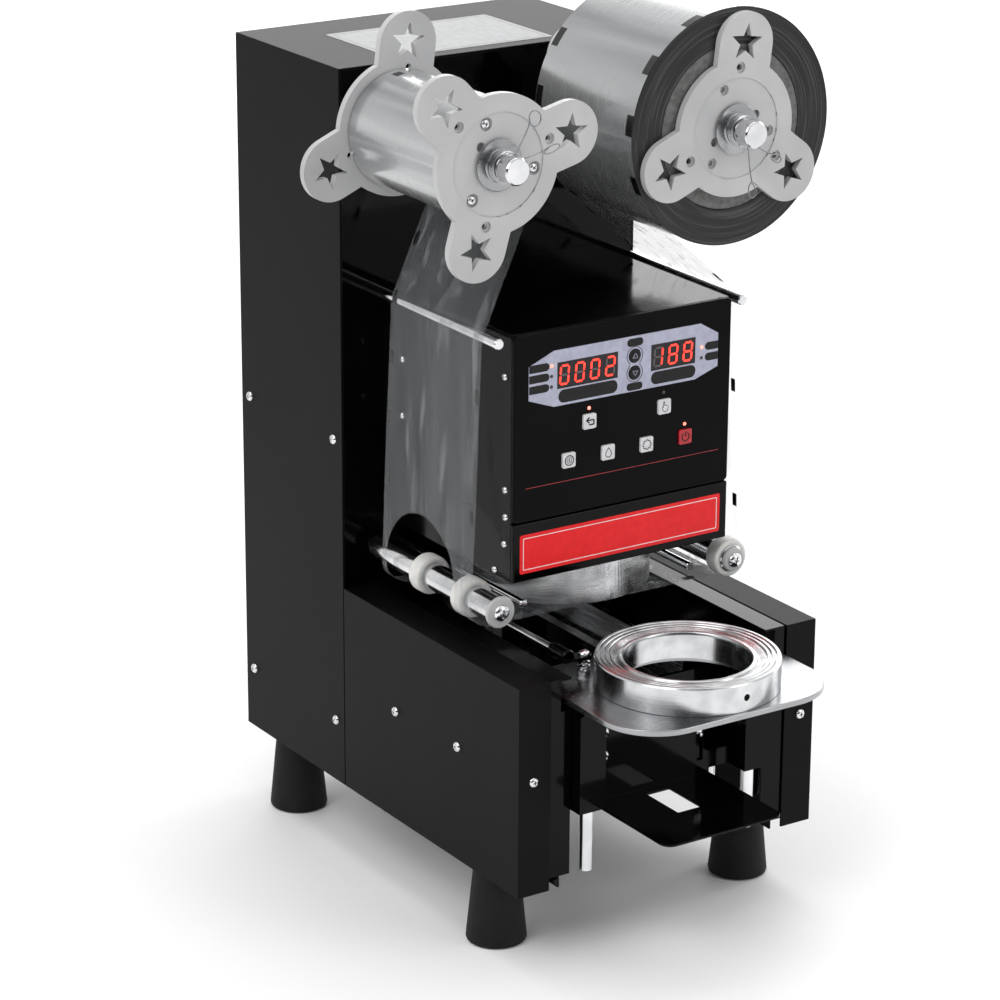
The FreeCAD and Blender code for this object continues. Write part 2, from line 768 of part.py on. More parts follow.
def shelfScrews():
    screws = []
    for side in (-1, 1):
        for z in (131, 148):
            centre = (f"{side} * 40", z)
            head = rod("Y", 4.4, ("shelfRear - 2.6", "shelfRear"), centre)
            shank = rod("Y", 2, ("shelfRear - 0.1", "shelfRear + 2"), centre)
            screws.append(join(head, shank))
    return group(*screws)


def beltClamp():
    """Clamp on the belt's upper run, with a slotted fork that carries the draw rod's collar."""
    grip = block((-84, -77.4), (-1, 9), ("beltZ + pulleyRadius + 2", "beltZ + pulleyRadius + 5"))
    post = block((-77.4, -56), (-1, 9), ("beltZ + pulleyRadius - 2", "beltZ + pulleyRadius + 5"))
    fork = block((-68.5, -55.5), (-1, 8), ("beltZ + pulleyRadius + 5", "linkZ + 12.5"))
    pocket = block((-70, -54), (1.7, 5.3), ("linkZ - 6", "linkZ + 20"))
    slotX = ("linkX - linkRadius - 0.3", "linkX + linkRadius + 0.3")
    slot = block(slotX, (-3, 10), ("linkZ - 3.2", "linkZ + 20"))
    return cut(join(grip, post, fork), pocket, slot)


keep("drawer_carriage", drawerCarriage())
keep("cup_shelf", cupShelf())
keep("shelf_screws", shelfScrews())
keep("belt_clamp", beltClamp())


# ---------------------------------------------------------------- drives inside the base and tower
def slideRails():
    rails = []
    for side in (-1, 1):
        outerX = sorted((side * 86.5, side * 80.8))
        slotX = sorted((side * 84.2, side * 80))
        rail = block(outerX, ("baseFront + 6", 155), (122, 152))
        rails.append(cut(rail, block(slotX, ("baseFront + 2", 160), (127.4, 146.6))))
    return group(*rails)


def driveBelt():
    x = ("beltX - 3", "beltX + 3")
    radius = "pulleyRadius + 1.5"
    outer = join(
        block(x, ("idlerY", "driveY"), (f"beltZ - ({radius})", f"beltZ + {radius}")),
        rod("X", radius, x, ("idlerY", "beltZ")),
        rod("X", radius, x, ("driveY", "beltZ")),
    )
    wide = ("beltX - 5", "beltX + 5")
    inner = join(
        block(wide, ("idlerY", "driveY"), ("beltZ - pulleyRadius - 0.3", "beltZ + pulleyRadius + 0.3")),
        rod("X", "pulleyRadius + 0.3", wide, ("idlerY", "beltZ")),
        rod("X", "pulleyRadius + 0.3", wide, ("driveY", "beltZ")),
    )
    return cut(outer, inner)


def pulley(y):
    drum = rod("X", "pulleyRadius", ("beltX - 3.4", "beltX + 3"), (y, "beltZ"))
    flange = rod("X", "pulleyRadius + 2", ("beltX - 4.2", "beltX - 3.4"), (y, "beltZ"))
    return join(drum, flange)


def idlerPulley():
    return cut(pulley("idlerY"), rod("X", 2.55, ("beltX - 9", "beltX + 9"), ("idlerY", "beltZ")))


def drivePulley():
    """Toothed pulley in one piece with the gearbox's output shaft."""
    return join(pulley("driveY"), rod("X", 3, ("beltX - 5", "beltX + 24"), ("driveY", "beltZ")))


def drawerMotor():
    """Gear motor on a pedestal, its output shaft running in the gearbox."""
    gearbox = block((-72, -40), ("driveY - 18", "driveY + 18"), ("beltZ - 18", "beltZ + 18"))
    can = rod("X", 14, (-40, 12), ("driveY", "beltZ"))
    bore = rod("X", 3.05, (-74, -55), ("driveY", "beltZ"))
    foot = block((-70, -42), ("driveY - 14", "driveY + 14"), ("bodyBottom + 2", "beltZ - 18"))
    return cut(join(gearbox, can, foot), bore)


def liftMotor():
    """Linear gear motor on the tower floor, with its guide tube for the yoke's ram."""
    case = block((10, 66), (164, 206), ("bodyBottom + 2", "bodyBottom + 62"))
    tube = rod("Z", 9, ("bodyBottom + 62", "bodyBottom + 92"), (38, 185))
    return cut(join(case, tube), rod("Z", 5.05, ("bodyBottom + 10", "bodyBottom + 100"), (38, 185)))


def takeUpMotor():
    centre = ("-reelX", "reelZ")
    gearbox = rod("Y", 22, ("towerFront + 52", "towerFront + 76"), centre)
    can = rod("Y", 17, ("towerFront + 76", "towerFront + 118"), centre)
    spacerX = ("-reelX - 22", "-reelX + 22")
    spacerY = ("towerFront + 0.6 + thick", "towerFront + 52")
    spacer = block(spacerX, spacerY, ("reelZ - 30", "reelZ - 18"))
    bore = rod("Y", "shaftRadius + 0.05", ("towerFront + 50", "towerFront + 66"), centre)
    return cut(join(gearbox, can, spacer), bore)


def liftYoke():
    """Ram and forked arms that push the four columns up once the drawer is in."""
    low = ("bodyBottom + 2.4", "columnFoot - 0.4")
    pieces = [
        block((-72, -60), (4, 118), low),
        block((60, 72), (4, 118), low),
        block((-72, 72), (106, 118), low),
        block((20, 56), (112, 150), low),
        block((30, 46), (146, 162), (low[0], "bodyBottom + 104")),
        block((30, 46), (146, 192), ("bodyBottom + 96", "bodyBottom + 104")),
        rod("Z", 5, ("bodyBottom + 30", "bodyBottom + 97"), (38, 185)),
    ]
    return join(*pieces)


def powerInlet():
    """Mains inlet with a well above it, crossed by the rocker's pin."""
    body = block(("inletX - 13.8", "inletX + 13.8"), ("towerBack - 22", "towerBack - 1"), (84.2, 130.3))
    flange = block(("inletX - 22", "inletX + 22"), ("towerBack - 1", "towerBack + 1.5"), (80, 134.5))
    socket = block(("inletX - 10.5", "inletX + 10.5"), ("towerBack - 14", "towerBack + 4"), (87, 101))
    well = block(("inletX - 6.5", "inletX + 6.5"), ("towerBack - 10", "towerBack + 4"), (108, 128))
    pins = []
    for across, z in ((-6, 92), (6, 92), (0, 97)):
        pins.append(rod("Y", 1.4, ("towerBack - 20", "towerBack - 4"), (f"inletX + {across}", z)))
    pins.append(rod("X", 1, ("inletX - 7", "inletX + 7"), ("towerBack - 3", 118)))
    return join(cut(join(body, flange), socket, well), *pins)


def rockerCap():
    """Rocker with a shallow V front, turning on the pin across its well."""
    profile = ((-6, 112), (2.8, 109.4), (0.2, 118), (4.2, 126.6), (-6, 124))
    points = [FreeCAD.Vector(0, *yz) for yz in profile]
    cap = Part.Face(Part.makePolygon(points + points[:1])).extrude(FreeCAD.Vector(12.2, 0, 0))
    pinHole = Part.makeCylinder(1.05, 20, FreeCAD.Vector(-4, -3, 118), FreeCAD.Vector(1, 0, 0))
    obj = solid(cap.cut(pinHole))
    place(obj, "inletX - 6.1", "towerBack", 0)
    return obj


keep("slide_rails", slideRails())
keep("drive_belt", driveBelt())
keep("drive_pulley", drivePulley())
keep("idler_pulley", idlerPulley())
keep("drawer_motor", drawerMotor())
keep("lift_motor", liftMotor())
keep("take_up_motor", takeUpMotor())
keep("lift_yoke", liftYoke())
keep("power_inlet", powerInlet())
keep("rocker_switch", rockerCap())

doc.recompute()
for obj in doc.Objects:
    if "Invalid" in obj.State or "Error" in obj.State:
        raise RuntimeError(f"{obj.Label} failed: {obj.State}")
os.makedirs("parts", exist_ok=True)
for obj in nodes:
    if obj.Shape.isNull() or not obj.Shape.isValid():
        raise RuntimeError(f"{obj.Label} has no valid shape")
    obj.Shape.exportStep(f"parts/{obj.Label}.step")
print(len(nodes), "parts")
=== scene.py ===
import json
import math
import random
import bpy
from mathutils import Matrix, Vector


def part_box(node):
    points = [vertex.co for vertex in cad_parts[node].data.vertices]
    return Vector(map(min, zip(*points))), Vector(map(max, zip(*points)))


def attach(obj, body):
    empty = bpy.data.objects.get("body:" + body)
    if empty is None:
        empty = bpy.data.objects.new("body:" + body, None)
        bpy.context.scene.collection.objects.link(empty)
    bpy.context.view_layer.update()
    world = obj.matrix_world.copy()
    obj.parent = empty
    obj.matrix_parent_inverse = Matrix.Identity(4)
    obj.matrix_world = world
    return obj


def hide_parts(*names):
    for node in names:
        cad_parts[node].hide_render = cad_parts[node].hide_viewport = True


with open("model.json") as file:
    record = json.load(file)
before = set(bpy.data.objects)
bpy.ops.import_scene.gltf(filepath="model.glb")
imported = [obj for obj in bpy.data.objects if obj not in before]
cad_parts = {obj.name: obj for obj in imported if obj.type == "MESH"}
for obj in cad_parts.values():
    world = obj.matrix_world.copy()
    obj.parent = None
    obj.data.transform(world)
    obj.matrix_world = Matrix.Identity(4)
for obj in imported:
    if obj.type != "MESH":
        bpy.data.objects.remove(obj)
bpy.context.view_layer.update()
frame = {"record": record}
mm = 0.001
tau = 2 * math.pi

# places and sizes that several pieces share, in mm; of a pair, the left one has the same X with a minus
reelX, reelZ = 93.2, 530
rollerX, rollerZ = 95, 230.5
rodX, rodZ = 97, 414
rodRadius, gripRadius = 3.75, 13.5
windingRadius, rollRadius = 39.5, 80
coreBore, coreRadius = 34.8, 56
cupY = -159


# camera, light and floor
cameraSettings = {
    "place": (-1.325, -1.9576, 1.0878),
    "yaw": 0.5796,
    "pitch": 0.3341,
    "roll": 0.0055,
    "lens": 131.79,
}


def addCamera(settings):
    data = bpy.data.cameras.new("camera")
    data.lens = settings["lens"]
    data.sensor_width = 36
    data.clip_end = 50
    camera = bpy.data.objects.new("camera", data)
    bpy.context.collection.objects.link(camera)
    yaw = settings["yaw"]
    pitch = settings["pitch"]
    ahead = Vector((math.sin(yaw) * math.cos(pitch), math.cos(yaw) * math.cos(pitch), -math.sin(pitch)))
    right = Vector((math.cos(yaw), -math.sin(yaw), 0))
    up = right.cross(ahead)
    turned = Matrix((right, up, -ahead)).transposed().to_4x4()
    roll = Matrix.Rotation(settings["roll"], 4, "Z")
    camera.matrix_world = Matrix.Translation(settings["place"]) @ turned @ roll
    bpy.context.scene.camera = camera


def addAreaLight(name, place, target, size, power):
    data = bpy.data.lights.new(name, "AREA")
    data.shape = "RECTANGLE"
    data.size = size[0]
    data.size_y = size[1]
    data.energy = power
    lamp = bpy.data.objects.new(name, data)
    bpy.context.collection.objects.link(lamp)
    aim = Vector(target) - Vector(place)
    lamp.matrix_world = Matrix.Translation(place) @ aim.to_track_quat("-Z", "Y").to_matrix().to_4x4()


addCamera(cameraSettings)
middle = (0, 0, 0.3)
addAreaLight("key_softbox", (-1.5, -0.6, 1.7), middle, (1.3, 1.3), 15)
addAreaLight("front_softbox", (1.1, -1.9, 1.3), middle, (0.7, 1.5), 9)
addAreaLight("right_strip", (1.9, 0.1, 0.8), middle, (0.5, 1.9), 9)
addAreaLight("top_softbox", (0.1, 0.3, 2.3), middle, (1.6, 1.2), 12)
addAreaLight("back_softbox", (1.65, 2.5, 1.25), (0, 0.1, 0.4), (2.4, 1.6), 30)


def addWorld():
    # a pale room with one dark side, behind the camera's place, so that polished metal has something dark to mirror
    world = bpy.data.worlds.new("studio")
    world.use_nodes = True
    tree = world.node_tree
    background = tree.nodes["Background"]
    background.inputs["Strength"].default_value = 0.85
    where = tree.nodes.new("ShaderNodeTexCoord")
    facing = tree.nodes.new("ShaderNodeVectorMath")
    facing.operation = "DOT_PRODUCT"
    facing.inputs[1].default_value = (-0.56, -0.83, 0)
    tree.links.new(where.outputs["Generated"], facing.inputs[0])
    shade = tree.nodes.new("ShaderNodeValToRGB")
    shade.color_ramp.elements[0].position = 0.62
    shade.color_ramp.elements[0].color = (1, 1, 1, 1)
    shade.color_ramp.elements[1].position = 0.86
    shade.color_ramp.elements[1].color = (0.1, 0.1, 0.1, 1)
    tree.links.new(facing.outputs["Value"], shade.inputs["Fac"])
    tree.links.new(shade.outputs["Color"], background.inputs["Color"])
    bpy.context.scene.world = world


addWorld()
bpy.context.scene.view_settings.view_transform = "Standard"
print("camera and lights")


# materials
def linear(hexText, alpha=1.0):
    # sRGB hex to linear RGBA
    parts = []
    for start in (0, 2, 4):
        value = int(hexText[start:start + 2], 16) / 255
        parts.append(value / 12.92 if value <= 0.04045 else ((value + 0.055) / 1.055) ** 2.4)
    return (*parts, alpha)


def newMaterial(name, **sockets):
    material = bpy.data.materials.new(name)
    material.use_nodes = True
    shader = material.node_tree.nodes["Principled BSDF"]
    for socket, value in sockets.items():
        shader.inputs[socket.replace("_", " ")].default_value = value
    return material


def addNode(material, kind, settings=None, values=None, links=None):
    # adds a node; links maps an input to (node, output)
    node = material.node_tree.nodes.new(kind)
    for key, value in (settings or {}).items():
        setattr(node, key, value)
    for key, value in (values or {}).items():
        node.inputs[key].default_value = value
    for key, (source, output) in (links or {}).items():
        material.node_tree.links.new(source.outputs[output], node.inputs[key])
    return node


def feed(material, source, output, socket):
    shader = material.node_tree.nodes["Principled BSDF"]
    material.node_tree.links.new(source.outputs[output], shader.inputs[socket])


def placeNode(material, scale=(1, 1, 1), turn=(0, 0, 0), shift=(0, 0, 0)):
    where = addNode(material, "ShaderNodeTexCoord")
    return addNode(
        material, "ShaderNodeMapping",
        values={"Scale": scale, "Rotation": turn, "Location": shift},
        links={"Vector": (where, "Object")},
    )


def ramp(material, source, output, stops):
    node = addNode(material, "ShaderNodeValToRGB", links={"Fac": (source, output)})
    bar = node.color_ramp.elements
    for index, (position, colour) in enumerate(stops):
        if index >= 2:
            bar.new(position)
        bar[index].position = position
        bar[index].color = colour
    return node


def driveRoughness(material, source, low, high, seen=(0, 1)):
    # maps the seen range of a pattern to a roughness range
    spread = addNode(
        material, "ShaderNodeMapRange",
        values={"From Min": seen[0], "From Max": seen[1], "To Min": low, "To Max": high},
        links={"Value": (source, "Fac")},
    )
    feed(material, spread, "Result", "Roughness")


def driveBump(material, source, output, strength, deepMm):
    height = addNode(
        material, "ShaderNodeBump",
        values={"Strength": strength, "Distance": deepMm * mm},
        links={"Height": (source, output)},
    )
    feed(material, height, "Normal", "Normal")


def surfacePattern(material, grainMm, bump, roughness, stretch=(1, 1, 1), detail=3.0):
    # noise of one grain size that drives a small bump and a roughness range
    noise = addNode(
        material, "ShaderNodeTexNoise",
        values={"Scale": 1 / (grainMm * mm), "Detail": detail, "Roughness": 0.55},
        links={"Vector": (placeNode(material, scale=stretch), "Vector")},
    )
    driveRoughness(material, noise, *roughness, seen=(0.3, 0.7))
    driveBump(material, noise, "Fac", *bump)


def colourDrift(material, low, high, sizeMm, stretch=(1, 1, 1)):
    # slow colour change across a surface, between two hex colours
    noise = addNode(
        material, "ShaderNodeTexNoise",
        values={"Scale": 1 / (sizeMm * mm), "Detail": 2.0},
        links={"Vector": (placeNode(material, scale=stretch), "Vector")},
    )
    shade = ramp(material, noise, "Fac", ((0.35, linear(low)), (0.65, linear(high))))
    feed(material, shade, "Color", "Base Color")


def surface(name, grain, bump, roughness, colours, stretch=(1, 1, 1), detail=3.0, drift=(1, 1, 1), **sockets):
    # grain in mm, (strength, depth in mm), (low, high) roughness, (low, high, patch size in mm), and the
    # stretch of the grain and of the colour patches
    material = newMaterial(name, **sockets)
    surfacePattern(material, grain, bump, roughness, stretch, detail)
    colourDrift(material, *colours, drift)
    return material


def ink(name, low, high, roughness=(0.3, 0.38), **sockets):
    # screen-printed ink: flat colour with a slight unevenness of the print
    return surface(name, 0.4, (0.1, 0.01), roughness, (low, high, 5), IOR=1.5, **sockets)


def glow(name, low, high, strength):
    # lit LED behind tinted resin: an even glow, brighter in the middle of the grain
    material = ink(name, low, high, Emission_Strength=strength)
    noise = addNode(
        material, "ShaderNodeTexNoise", values={"Scale": 700.0}, links={"Vector": (placeNode(material), "Vector")}
    )
    shade = ramp(material, noise, "Fac", ((0.3, linear(low)), (0.7, linear(high))))
    feed(material, shade, "Color", "Emission Color")
    return material


def turnedSteel():
    # steel turned on a lathe: fine rings round the cup ring's own axis catch the light
    material = newMaterial("lathe_turned_steel", Metallic=1)
    rings = addNode(
        material, "ShaderNodeTexWave",
        {"wave_type": "RINGS", "rings_direction": "Z"},
        {"Scale": 900.0, "Distortion": 0.4, "Detail": 1.0},
        {"Vector": (placeNode(material, shift=(0, -cupY * mm, 0)), "Vector")},
    )
    driveRoughness(material, rings, 0.12, 0.24)
    # grooves on the upright walls, 0.3 mm apart, spread the reflections into upright bands
    walls = addNode(
        material, "ShaderNodeTexNoise", values={"Scale": 1 / (0.3 * mm), "Detail": 4.0},
        links={"Vector": (placeNode(material, scale=(0.004, 0.004, 1)), "Vector")},
    )
    both = addNode(material, "ShaderNodeMath", {"operation": "ADD"}, links={0: (rings, "Fac"), 1: (walls, "Fac")})
    driveBump(material, both, "Value", 0.8, 0.05)
    colourDrift(material, "bfc0c2", "d6d7d8", 12)
    return material


def rollAngle(material, x):
    # the place round a roll's axis as its parts, and its angle
    where = placeNode(material, shift=(-x * mm, 0, -reelZ * mm))
    parts = addNode(material, "ShaderNodeSeparateXYZ", links={"Vector": (where, "Vector")})
    angle = addNode(
        material, "ShaderNodeMath", {"operation": "ARCTAN2"}, links={0: (parts, "Z"), 1: (parts, "X")}
    )
    return parts, angle


def woundFilm(name, x):
    # many turns of glossy clear film: silver grey with soft light and dark bands along the roll, partly uneven tone of
    # the turns and partly painted sheen, and fine turn lines
    material = newMaterial(name, Metallic=0.72, IOR=1.5, Coat_Weight=0.6, Coat_Roughness=0.08)
    parts, angle = rollAngle(material, x)
    around = addNode(material, "ShaderNodeCombineXYZ", links={"X": (angle, "Value"), "Y": (parts, "Y")})
    # painted sheen: the light and dark bands in the base colour stand in for reflections along the roll
    sheen_bands = addNode(
        material, "ShaderNodeTexNoise",
        {"noise_dimensions": "2D"},
        {"Scale": 1.9, "Detail": 2.5, "Distortion": 0.3},
        {"Vector": (around, "Vector")},
    )
    stops = ((0.3, linear("86888a")), (0.5, linear("adafb0")), (0.68, linear("c6c7c8")))
    feed(material, ramp(material, sheen_bands, "Fac", stops), "Color", "Base Color")
    stretched = addNode(
        material, "ShaderNodeVectorMath", {"operation": "MULTIPLY"}, {1: (1.2, 260.0, 1.0)}, {0: (around, "Vector")}
    )
    lines = addNode(
        material, "ShaderNodeTexNoise",
        values={"Scale": 1.0, "Detail": 4.0},
        links={"Vector": (stretched, "Vector")},
    )
    driveRoughness(material, lines, 0.16, 0.34)
    driveBump(material, lines, "Fac", 0.04, 0.02)
    return material


def rollSide(name, x):
    # cut edges of the wound film: dark grey with tight concentric streaks
    material = newMaterial(name, Metallic=0.3, IOR=1.5)
    parts, angle = rollAngle(material, x)
    flat = addNode(material, "ShaderNodeCombineXYZ", links={"X": (parts, "X"), "Y": (parts, "Z")})
    radius = addNode(material, "ShaderNodeVectorMath", {"operation": "LENGTH"}, links={0: (flat, "Vector")})
    coarse = addNode(material, "ShaderNodeMath", {"operation": "MULTIPLY"}, {1: 700.0}, {0: (radius, "Value")})
    polar = addNode(material, "ShaderNodeCombineXYZ", links={"X": (coarse, "Value"), "Y": (angle, "Value")})
    turns = addNode(
        material, "ShaderNodeTexNoise",
        {"noise_dimensions": "2D"},
        {"Scale": 1.0, "Detail": 3.0},
        {"Vector": (polar, "Vector")},
    )
    stops = ((0.34, linear("0b0b0c")), (0.52, linear("181819")), (0.7, linear("3c3d3e")))
    feed(material, ramp(material, turns, "Fac", stops), "Color", "Base Color")
    driveRoughness(material, turns, 0.28, 0.5)
    driveBump(material, turns, "Fac", 0.4, 0.1)
    return material


def clearFilm():
    # clear polypropylene film under tension: nearly invisible face on, with painted highlights along its folds and a
    # painted sheen at a slant, both made by making the pale grey film more opaque there
    material = newMaterial("clear_sealing_film", Base_Color=linear("a2a5a8"), IOR=1.49)
    creases = addNode(
        material, "ShaderNodeTexNoise",
        values={"Scale": 70.0, "Detail": 3.0, "Distortion": 0.9},
        links={"Vector": (placeNode(material, scale=(1, 1, 0.1)), "Vector")},
    )
    driveRoughness(material, creases, 0.05, 0.16, seen=(0.35, 0.65))
    driveBump(material, creases, "Fac", 0.6, 0.9)
    # painted highlights: the film is made more opaque, and so whiter, along the folds
    folds = addNode(
        material, "ShaderNodeMapRange",
        values={"From Min": 0.57, "From Max": 0.74, "To Min": 0.035, "To Max": 0.26},
        links={"Value": (creases, "Fac")},
    )
    # painted sheen: the film is made more opaque where it is seen at a slant
    slant_sheen = addNode(material, "ShaderNodeLayerWeight", values={"Blend": 0.3})
    edge = addNode(
        material, "ShaderNodeMath", {"operation": "MULTIPLY_ADD"}, {1: 0.24},
        {0: (slant_sheen, "Facing"), 2: (folds, "Result")},
    )
    feed(material, edge, "Value", "Alpha")
    return material


finish = {
    # fine powder-coated sheet steel: matt dark grey with a tiny orange peel
    "sheet": surface(
        "powder_coated_sheet", 0.9, (0.25, 0.03), (0.42, 0.5), ("050505", "080808", 90),
        IOR=1.5, Specular_IOR_Level=0.09,
    ),
    # baked gloss enamel on sheet steel: deep black, sharp reflections that waver slightly
    "gloss": surface(
        "gloss_enamel_sheet", 14, (0.12, 0.12), (0.07, 0.13), ("020202", "050505", 60),
        IOR=1.5, Specular_IOR_Level=0.12,
    ),
    # printed polycarbonate overlay on the control panel: black with a soft sheen
    "overlay": surface(
        "printed_overlay", 0.6, (0.2, 0.01), (0.2, 0.26), ("030304", "050506", 50),
        IOR=1.58, Specular_IOR_Level=0.05,
    ),
    # brushed stainless steel: hairlines along one axis break the reflection into streaks
    "steelY": surface(
        "brushed_stainless", 0.5, (0.12, 0.02), (0.16, 0.3), ("b5b6b8", "d9dadc", 3),
        (1, 0.03, 1), 5.0, (1, 0.03, 1), Metallic=1,
    ),
    "steelX": surface(
        "brushed_stainless_cross", 0.5, (0.12, 0.02), (0.2, 0.32), ("a9aaac", "cfd0d2", 3),
        (0.03, 1, 1), 5.0, (0.03, 1, 1), Metallic=1,
    ),
    "turned": turnedSteel(),
    # bright chrome plate: near mirror with faint handling marks
    "chrome": surface("chrome_plate", 6, (0.05, 0.02), (0.05, 0.12), ("d2d3d5", "e4e4e6", 15), Metallic=1),
    # drawn spring-steel wire: satin grey, with faint draw lines
    "wire": surface(
        "spring_steel_wire", 0.4, (0.05, 0.01), (0.24, 0.34), ("7c7d7f", "949597", 4), (1, 1, 0.2), Metallic=1
    ),
    # ground and polished stainless sheet: an even grey that still mirrors what stands on it
    "polished": surface(
        "polished_stainless_sheet", 0.4, (0.05, 0.01), (0.22, 0.28), ("9c9d9f", "a7a8aa", 25),
        (0.05, 1, 1), 4.0, Metallic=1,
    ),
    # polished tube that mirrors the dark machine along most of its length
    "tube": surface(
        "polished_tube", 0.7, (0.06, 0.01), (0.09, 0.18), ("c9cacc", "dededf", 10), (1, 0.02, 1), Metallic=1
    ),
    # die-cast and machined aluminium: dull grey with a coarse grain
    "alu": surface("cast_aluminium", 0.8, (0.35, 0.05), (0.38, 0.55), ("a4a5a6", "bdbebf", 10), Metallic=1),
    # moulded light-grey ABS: satin, with a faint moulding texture and flow shade
    "abs": surface(
        "moulded_grey_abs", 0.5, (0.22, 0.02), (0.33, 0.42), ("b0b0b1", "bababb", 40),
        IOR=1.54, Subsurface_Weight=0.04, Subsurface_Scale=0.002,
    ),
    # moulded black nylon: fine spark texture
    "nylon": surface(
        "moulded_black_nylon", 0.35, (0.3, 0.03), (0.4, 0.55), ("0c0c0c", "131313", 20),
        IOR=1.53, Specular_IOR_Level=0.3,
    ),
    # moulded black rubber: very matt with a dusty drift
    "footRubber": surface(
        "moulded_black_rubber", 0.6, (0.4, 0.04), (0.62, 0.8), ("0f0f0f", "161616", 18),
        IOR=1.52, Specular_IOR_Level=0.25,
    ),
    # white silicone drive rings: soft, slightly translucent
    "silicone": surface(
        "white_silicone", 0.5, (0.25, 0.03), (0.42, 0.55), ("d3d2cf", "e2e1de", 9),
        IOR=1.43, Subsurface_Weight=0.15, Subsurface_Scale=0.003,
    ),
    # black neoprene, matt
    "belt": surface("toothed_belt_rubber", 0.5, (0.4, 0.04), (0.6, 0.75), ("141414", "1d1d1d", 8), IOR=1.52),
    # green glass-epoxy under solder mask
    "board": surface("circuit_laminate", 1.2, (0.2, 0.03), (0.25, 0.4), ("123d22", "1b5230", 6), IOR=1.55),
    "silverPrint": ink("silver_lavender_print", "9fa1b4", "abadc0", (0.3, 0.36), Metallic=0.15),
    "blackPrint": ink("black_print", "060607", "0a0a0b", (0.25, 0.3), Specular_IOR_Level=0.25),
    "whitePrint": ink("white_print", "dcdcdc", "e8e8e8"),
    "redPrint": ink("red_label_print", "e0141a", "e81b20", (0.3, 0.36), Specular_IOR_Level=0.25),
    "redLine": ink("dark_red_line", "8e141c", "a01a22"),
    "keyFace": ink("pale_key_cap", "c9c9cc", "d4d4d6", (0.28, 0.34)),
    "keyRed": ink("red_key_cap", "a3101c", "b81522", (0.25, 0.3)),
    "lens": ink("tinted_display_lens", "171213", "1d1617", (0.12, 0.16), Specular_IOR_Level=0.3),
    "segmentOff": ink("unlit_segment", "4a4546", "554f50"),
    "segmentOn": glow("lit_red_segment", "ff2418", "ff3a2a", 2.2),
    "ledOn": glow("lit_red_lamp", "ff5a48", "ff8a78", 3.0),
    "ledOff": ink("unlit_lamp", "3a2a2b", "453233"),
    "paper": ink("label_paper", "98999a", "a3a4a5", (0.5, 0.6)),
    "paperInk": ink("pale_label_ink", "7c7d7f", "88898b", (0.5, 0.6)),
    "eyeMark": ink("dark_eye_mark", "0b0b0c", "151516", (0.2, 0.26)),
    "film": clearFilm(),
    # pressed paper core: grey-brown with fibres
    "core": surface("paper_core", 1.2, (0.3, 0.04), (0.6, 0.75), ("5a5a59", "70706f", 4), IOR=1.4),
}
print("materials", len(finish))


# modelling helpers, each one works on the piece that is being made
def deselect():
    if bpy.context.mode != "OBJECT":
        bpy.ops.object.mode_set(mode="OBJECT")
    bpy.ops.object.select_all(action="DESELECT")


def pick(piece):
    deselect()
    piece.select_set(True)
    bpy.context.view_layer.objects.active = piece


def bake(piece):
    # puts place, turn and size into the mesh
    pick(piece)
    bpy.ops.object.transform_apply(location=True, rotation=True, scale=True)


def useModifier(piece, kind, **settings):
    modifier = piece.modifiers.new(kind.lower(), kind)
    for key, value in settings.items():
        setattr(modifier, key, value)
    pick(piece)
    bpy.ops.object.modifier_apply(modifier=modifier.name)


def bevelEdges(piece, width, segments=2, angle=35):
    useModifier(
        piece, "BEVEL", width=width * mm, segments=segments, limit_method="ANGLE",
        angle_limit=math.radians(angle), harden_normals=False, use_clamp_overlap=True,
    )


def smooth(piece, angle=32):
    pick(piece)
    bpy.ops.object.shade_smooth_by_angle(angle=math.radians(angle), keep_sharp_edges=False)
    useModifier(piece, "WEIGHTED_NORMAL", keep_sharp=True, weight=60)  # flat faces stay flat beside their bevels


def settle(piece, name, material, body, stands=()):
    # last step of a piece: name, finish, the body it rides on and what it stands for
    piece.name = name
    piece.data.name = name
    piece.data.materials.clear()
    for each in material if isinstance(material, (list, tuple)) else (material,):
        piece.data.materials.append(each)
    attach(piece, body)
    if stands:
        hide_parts(*stands)
    return piece


def box(x, y, z):
    # a cube between low and high corners in mm, with its place in its mesh
    deselect()
    centre = [(low + high) / 2 * mm for low, high in (x, y, z)]
    bpy.ops.mesh.primitive_cube_add(size=1, location=centre)
    piece = bpy.context.object
    piece.scale = [(high - low) * mm for low, high in (x, y, z)]
    bake(piece)
    return piece


def turned(profile, axis, centre, steps=48):
    # spins a profile of (radius, along) points in mm round an axis; centre is the axis point
    deselect()
    out = Vector((0, 1, 0)) if axis == "X" else Vector((1, 0, 0))
    along = {"X": Vector((1, 0, 0)), "Y": Vector((0, 1, 0)), "Z": Vector((0, 0, 1))}[axis]
    points = [(Vector(centre) + out * radius + along * step) * mm for radius, step in profile]
    bpy.ops.mesh.primitive_plane_add(size=0.001, location=points[0])
    piece = bpy.context.object
    bpy.ops.object.transform_apply(location=True)
    bpy.ops.object.mode_set(mode="EDIT")
    bpy.ops.mesh.merge(type="CENTER")
    for before, after in zip(points, points[1:]):
        bpy.ops.mesh.extrude_region_move(TRANSFORM_OT_translate={"value": after - before})
    bpy.ops.mesh.select_all(action="SELECT")
    bpy.ops.mesh.spin(steps=steps, angle=tau, center=Vector(centre) * mm, axis=along)
    bpy.ops.mesh.select_all(action="SELECT")
    bpy.ops.mesh.remove_doubles(threshold=0.00001)
    bpy.ops.mesh.normals_make_consistent(inside=False)
    bpy.ops.object.mode_set(mode="OBJECT")
    return piece


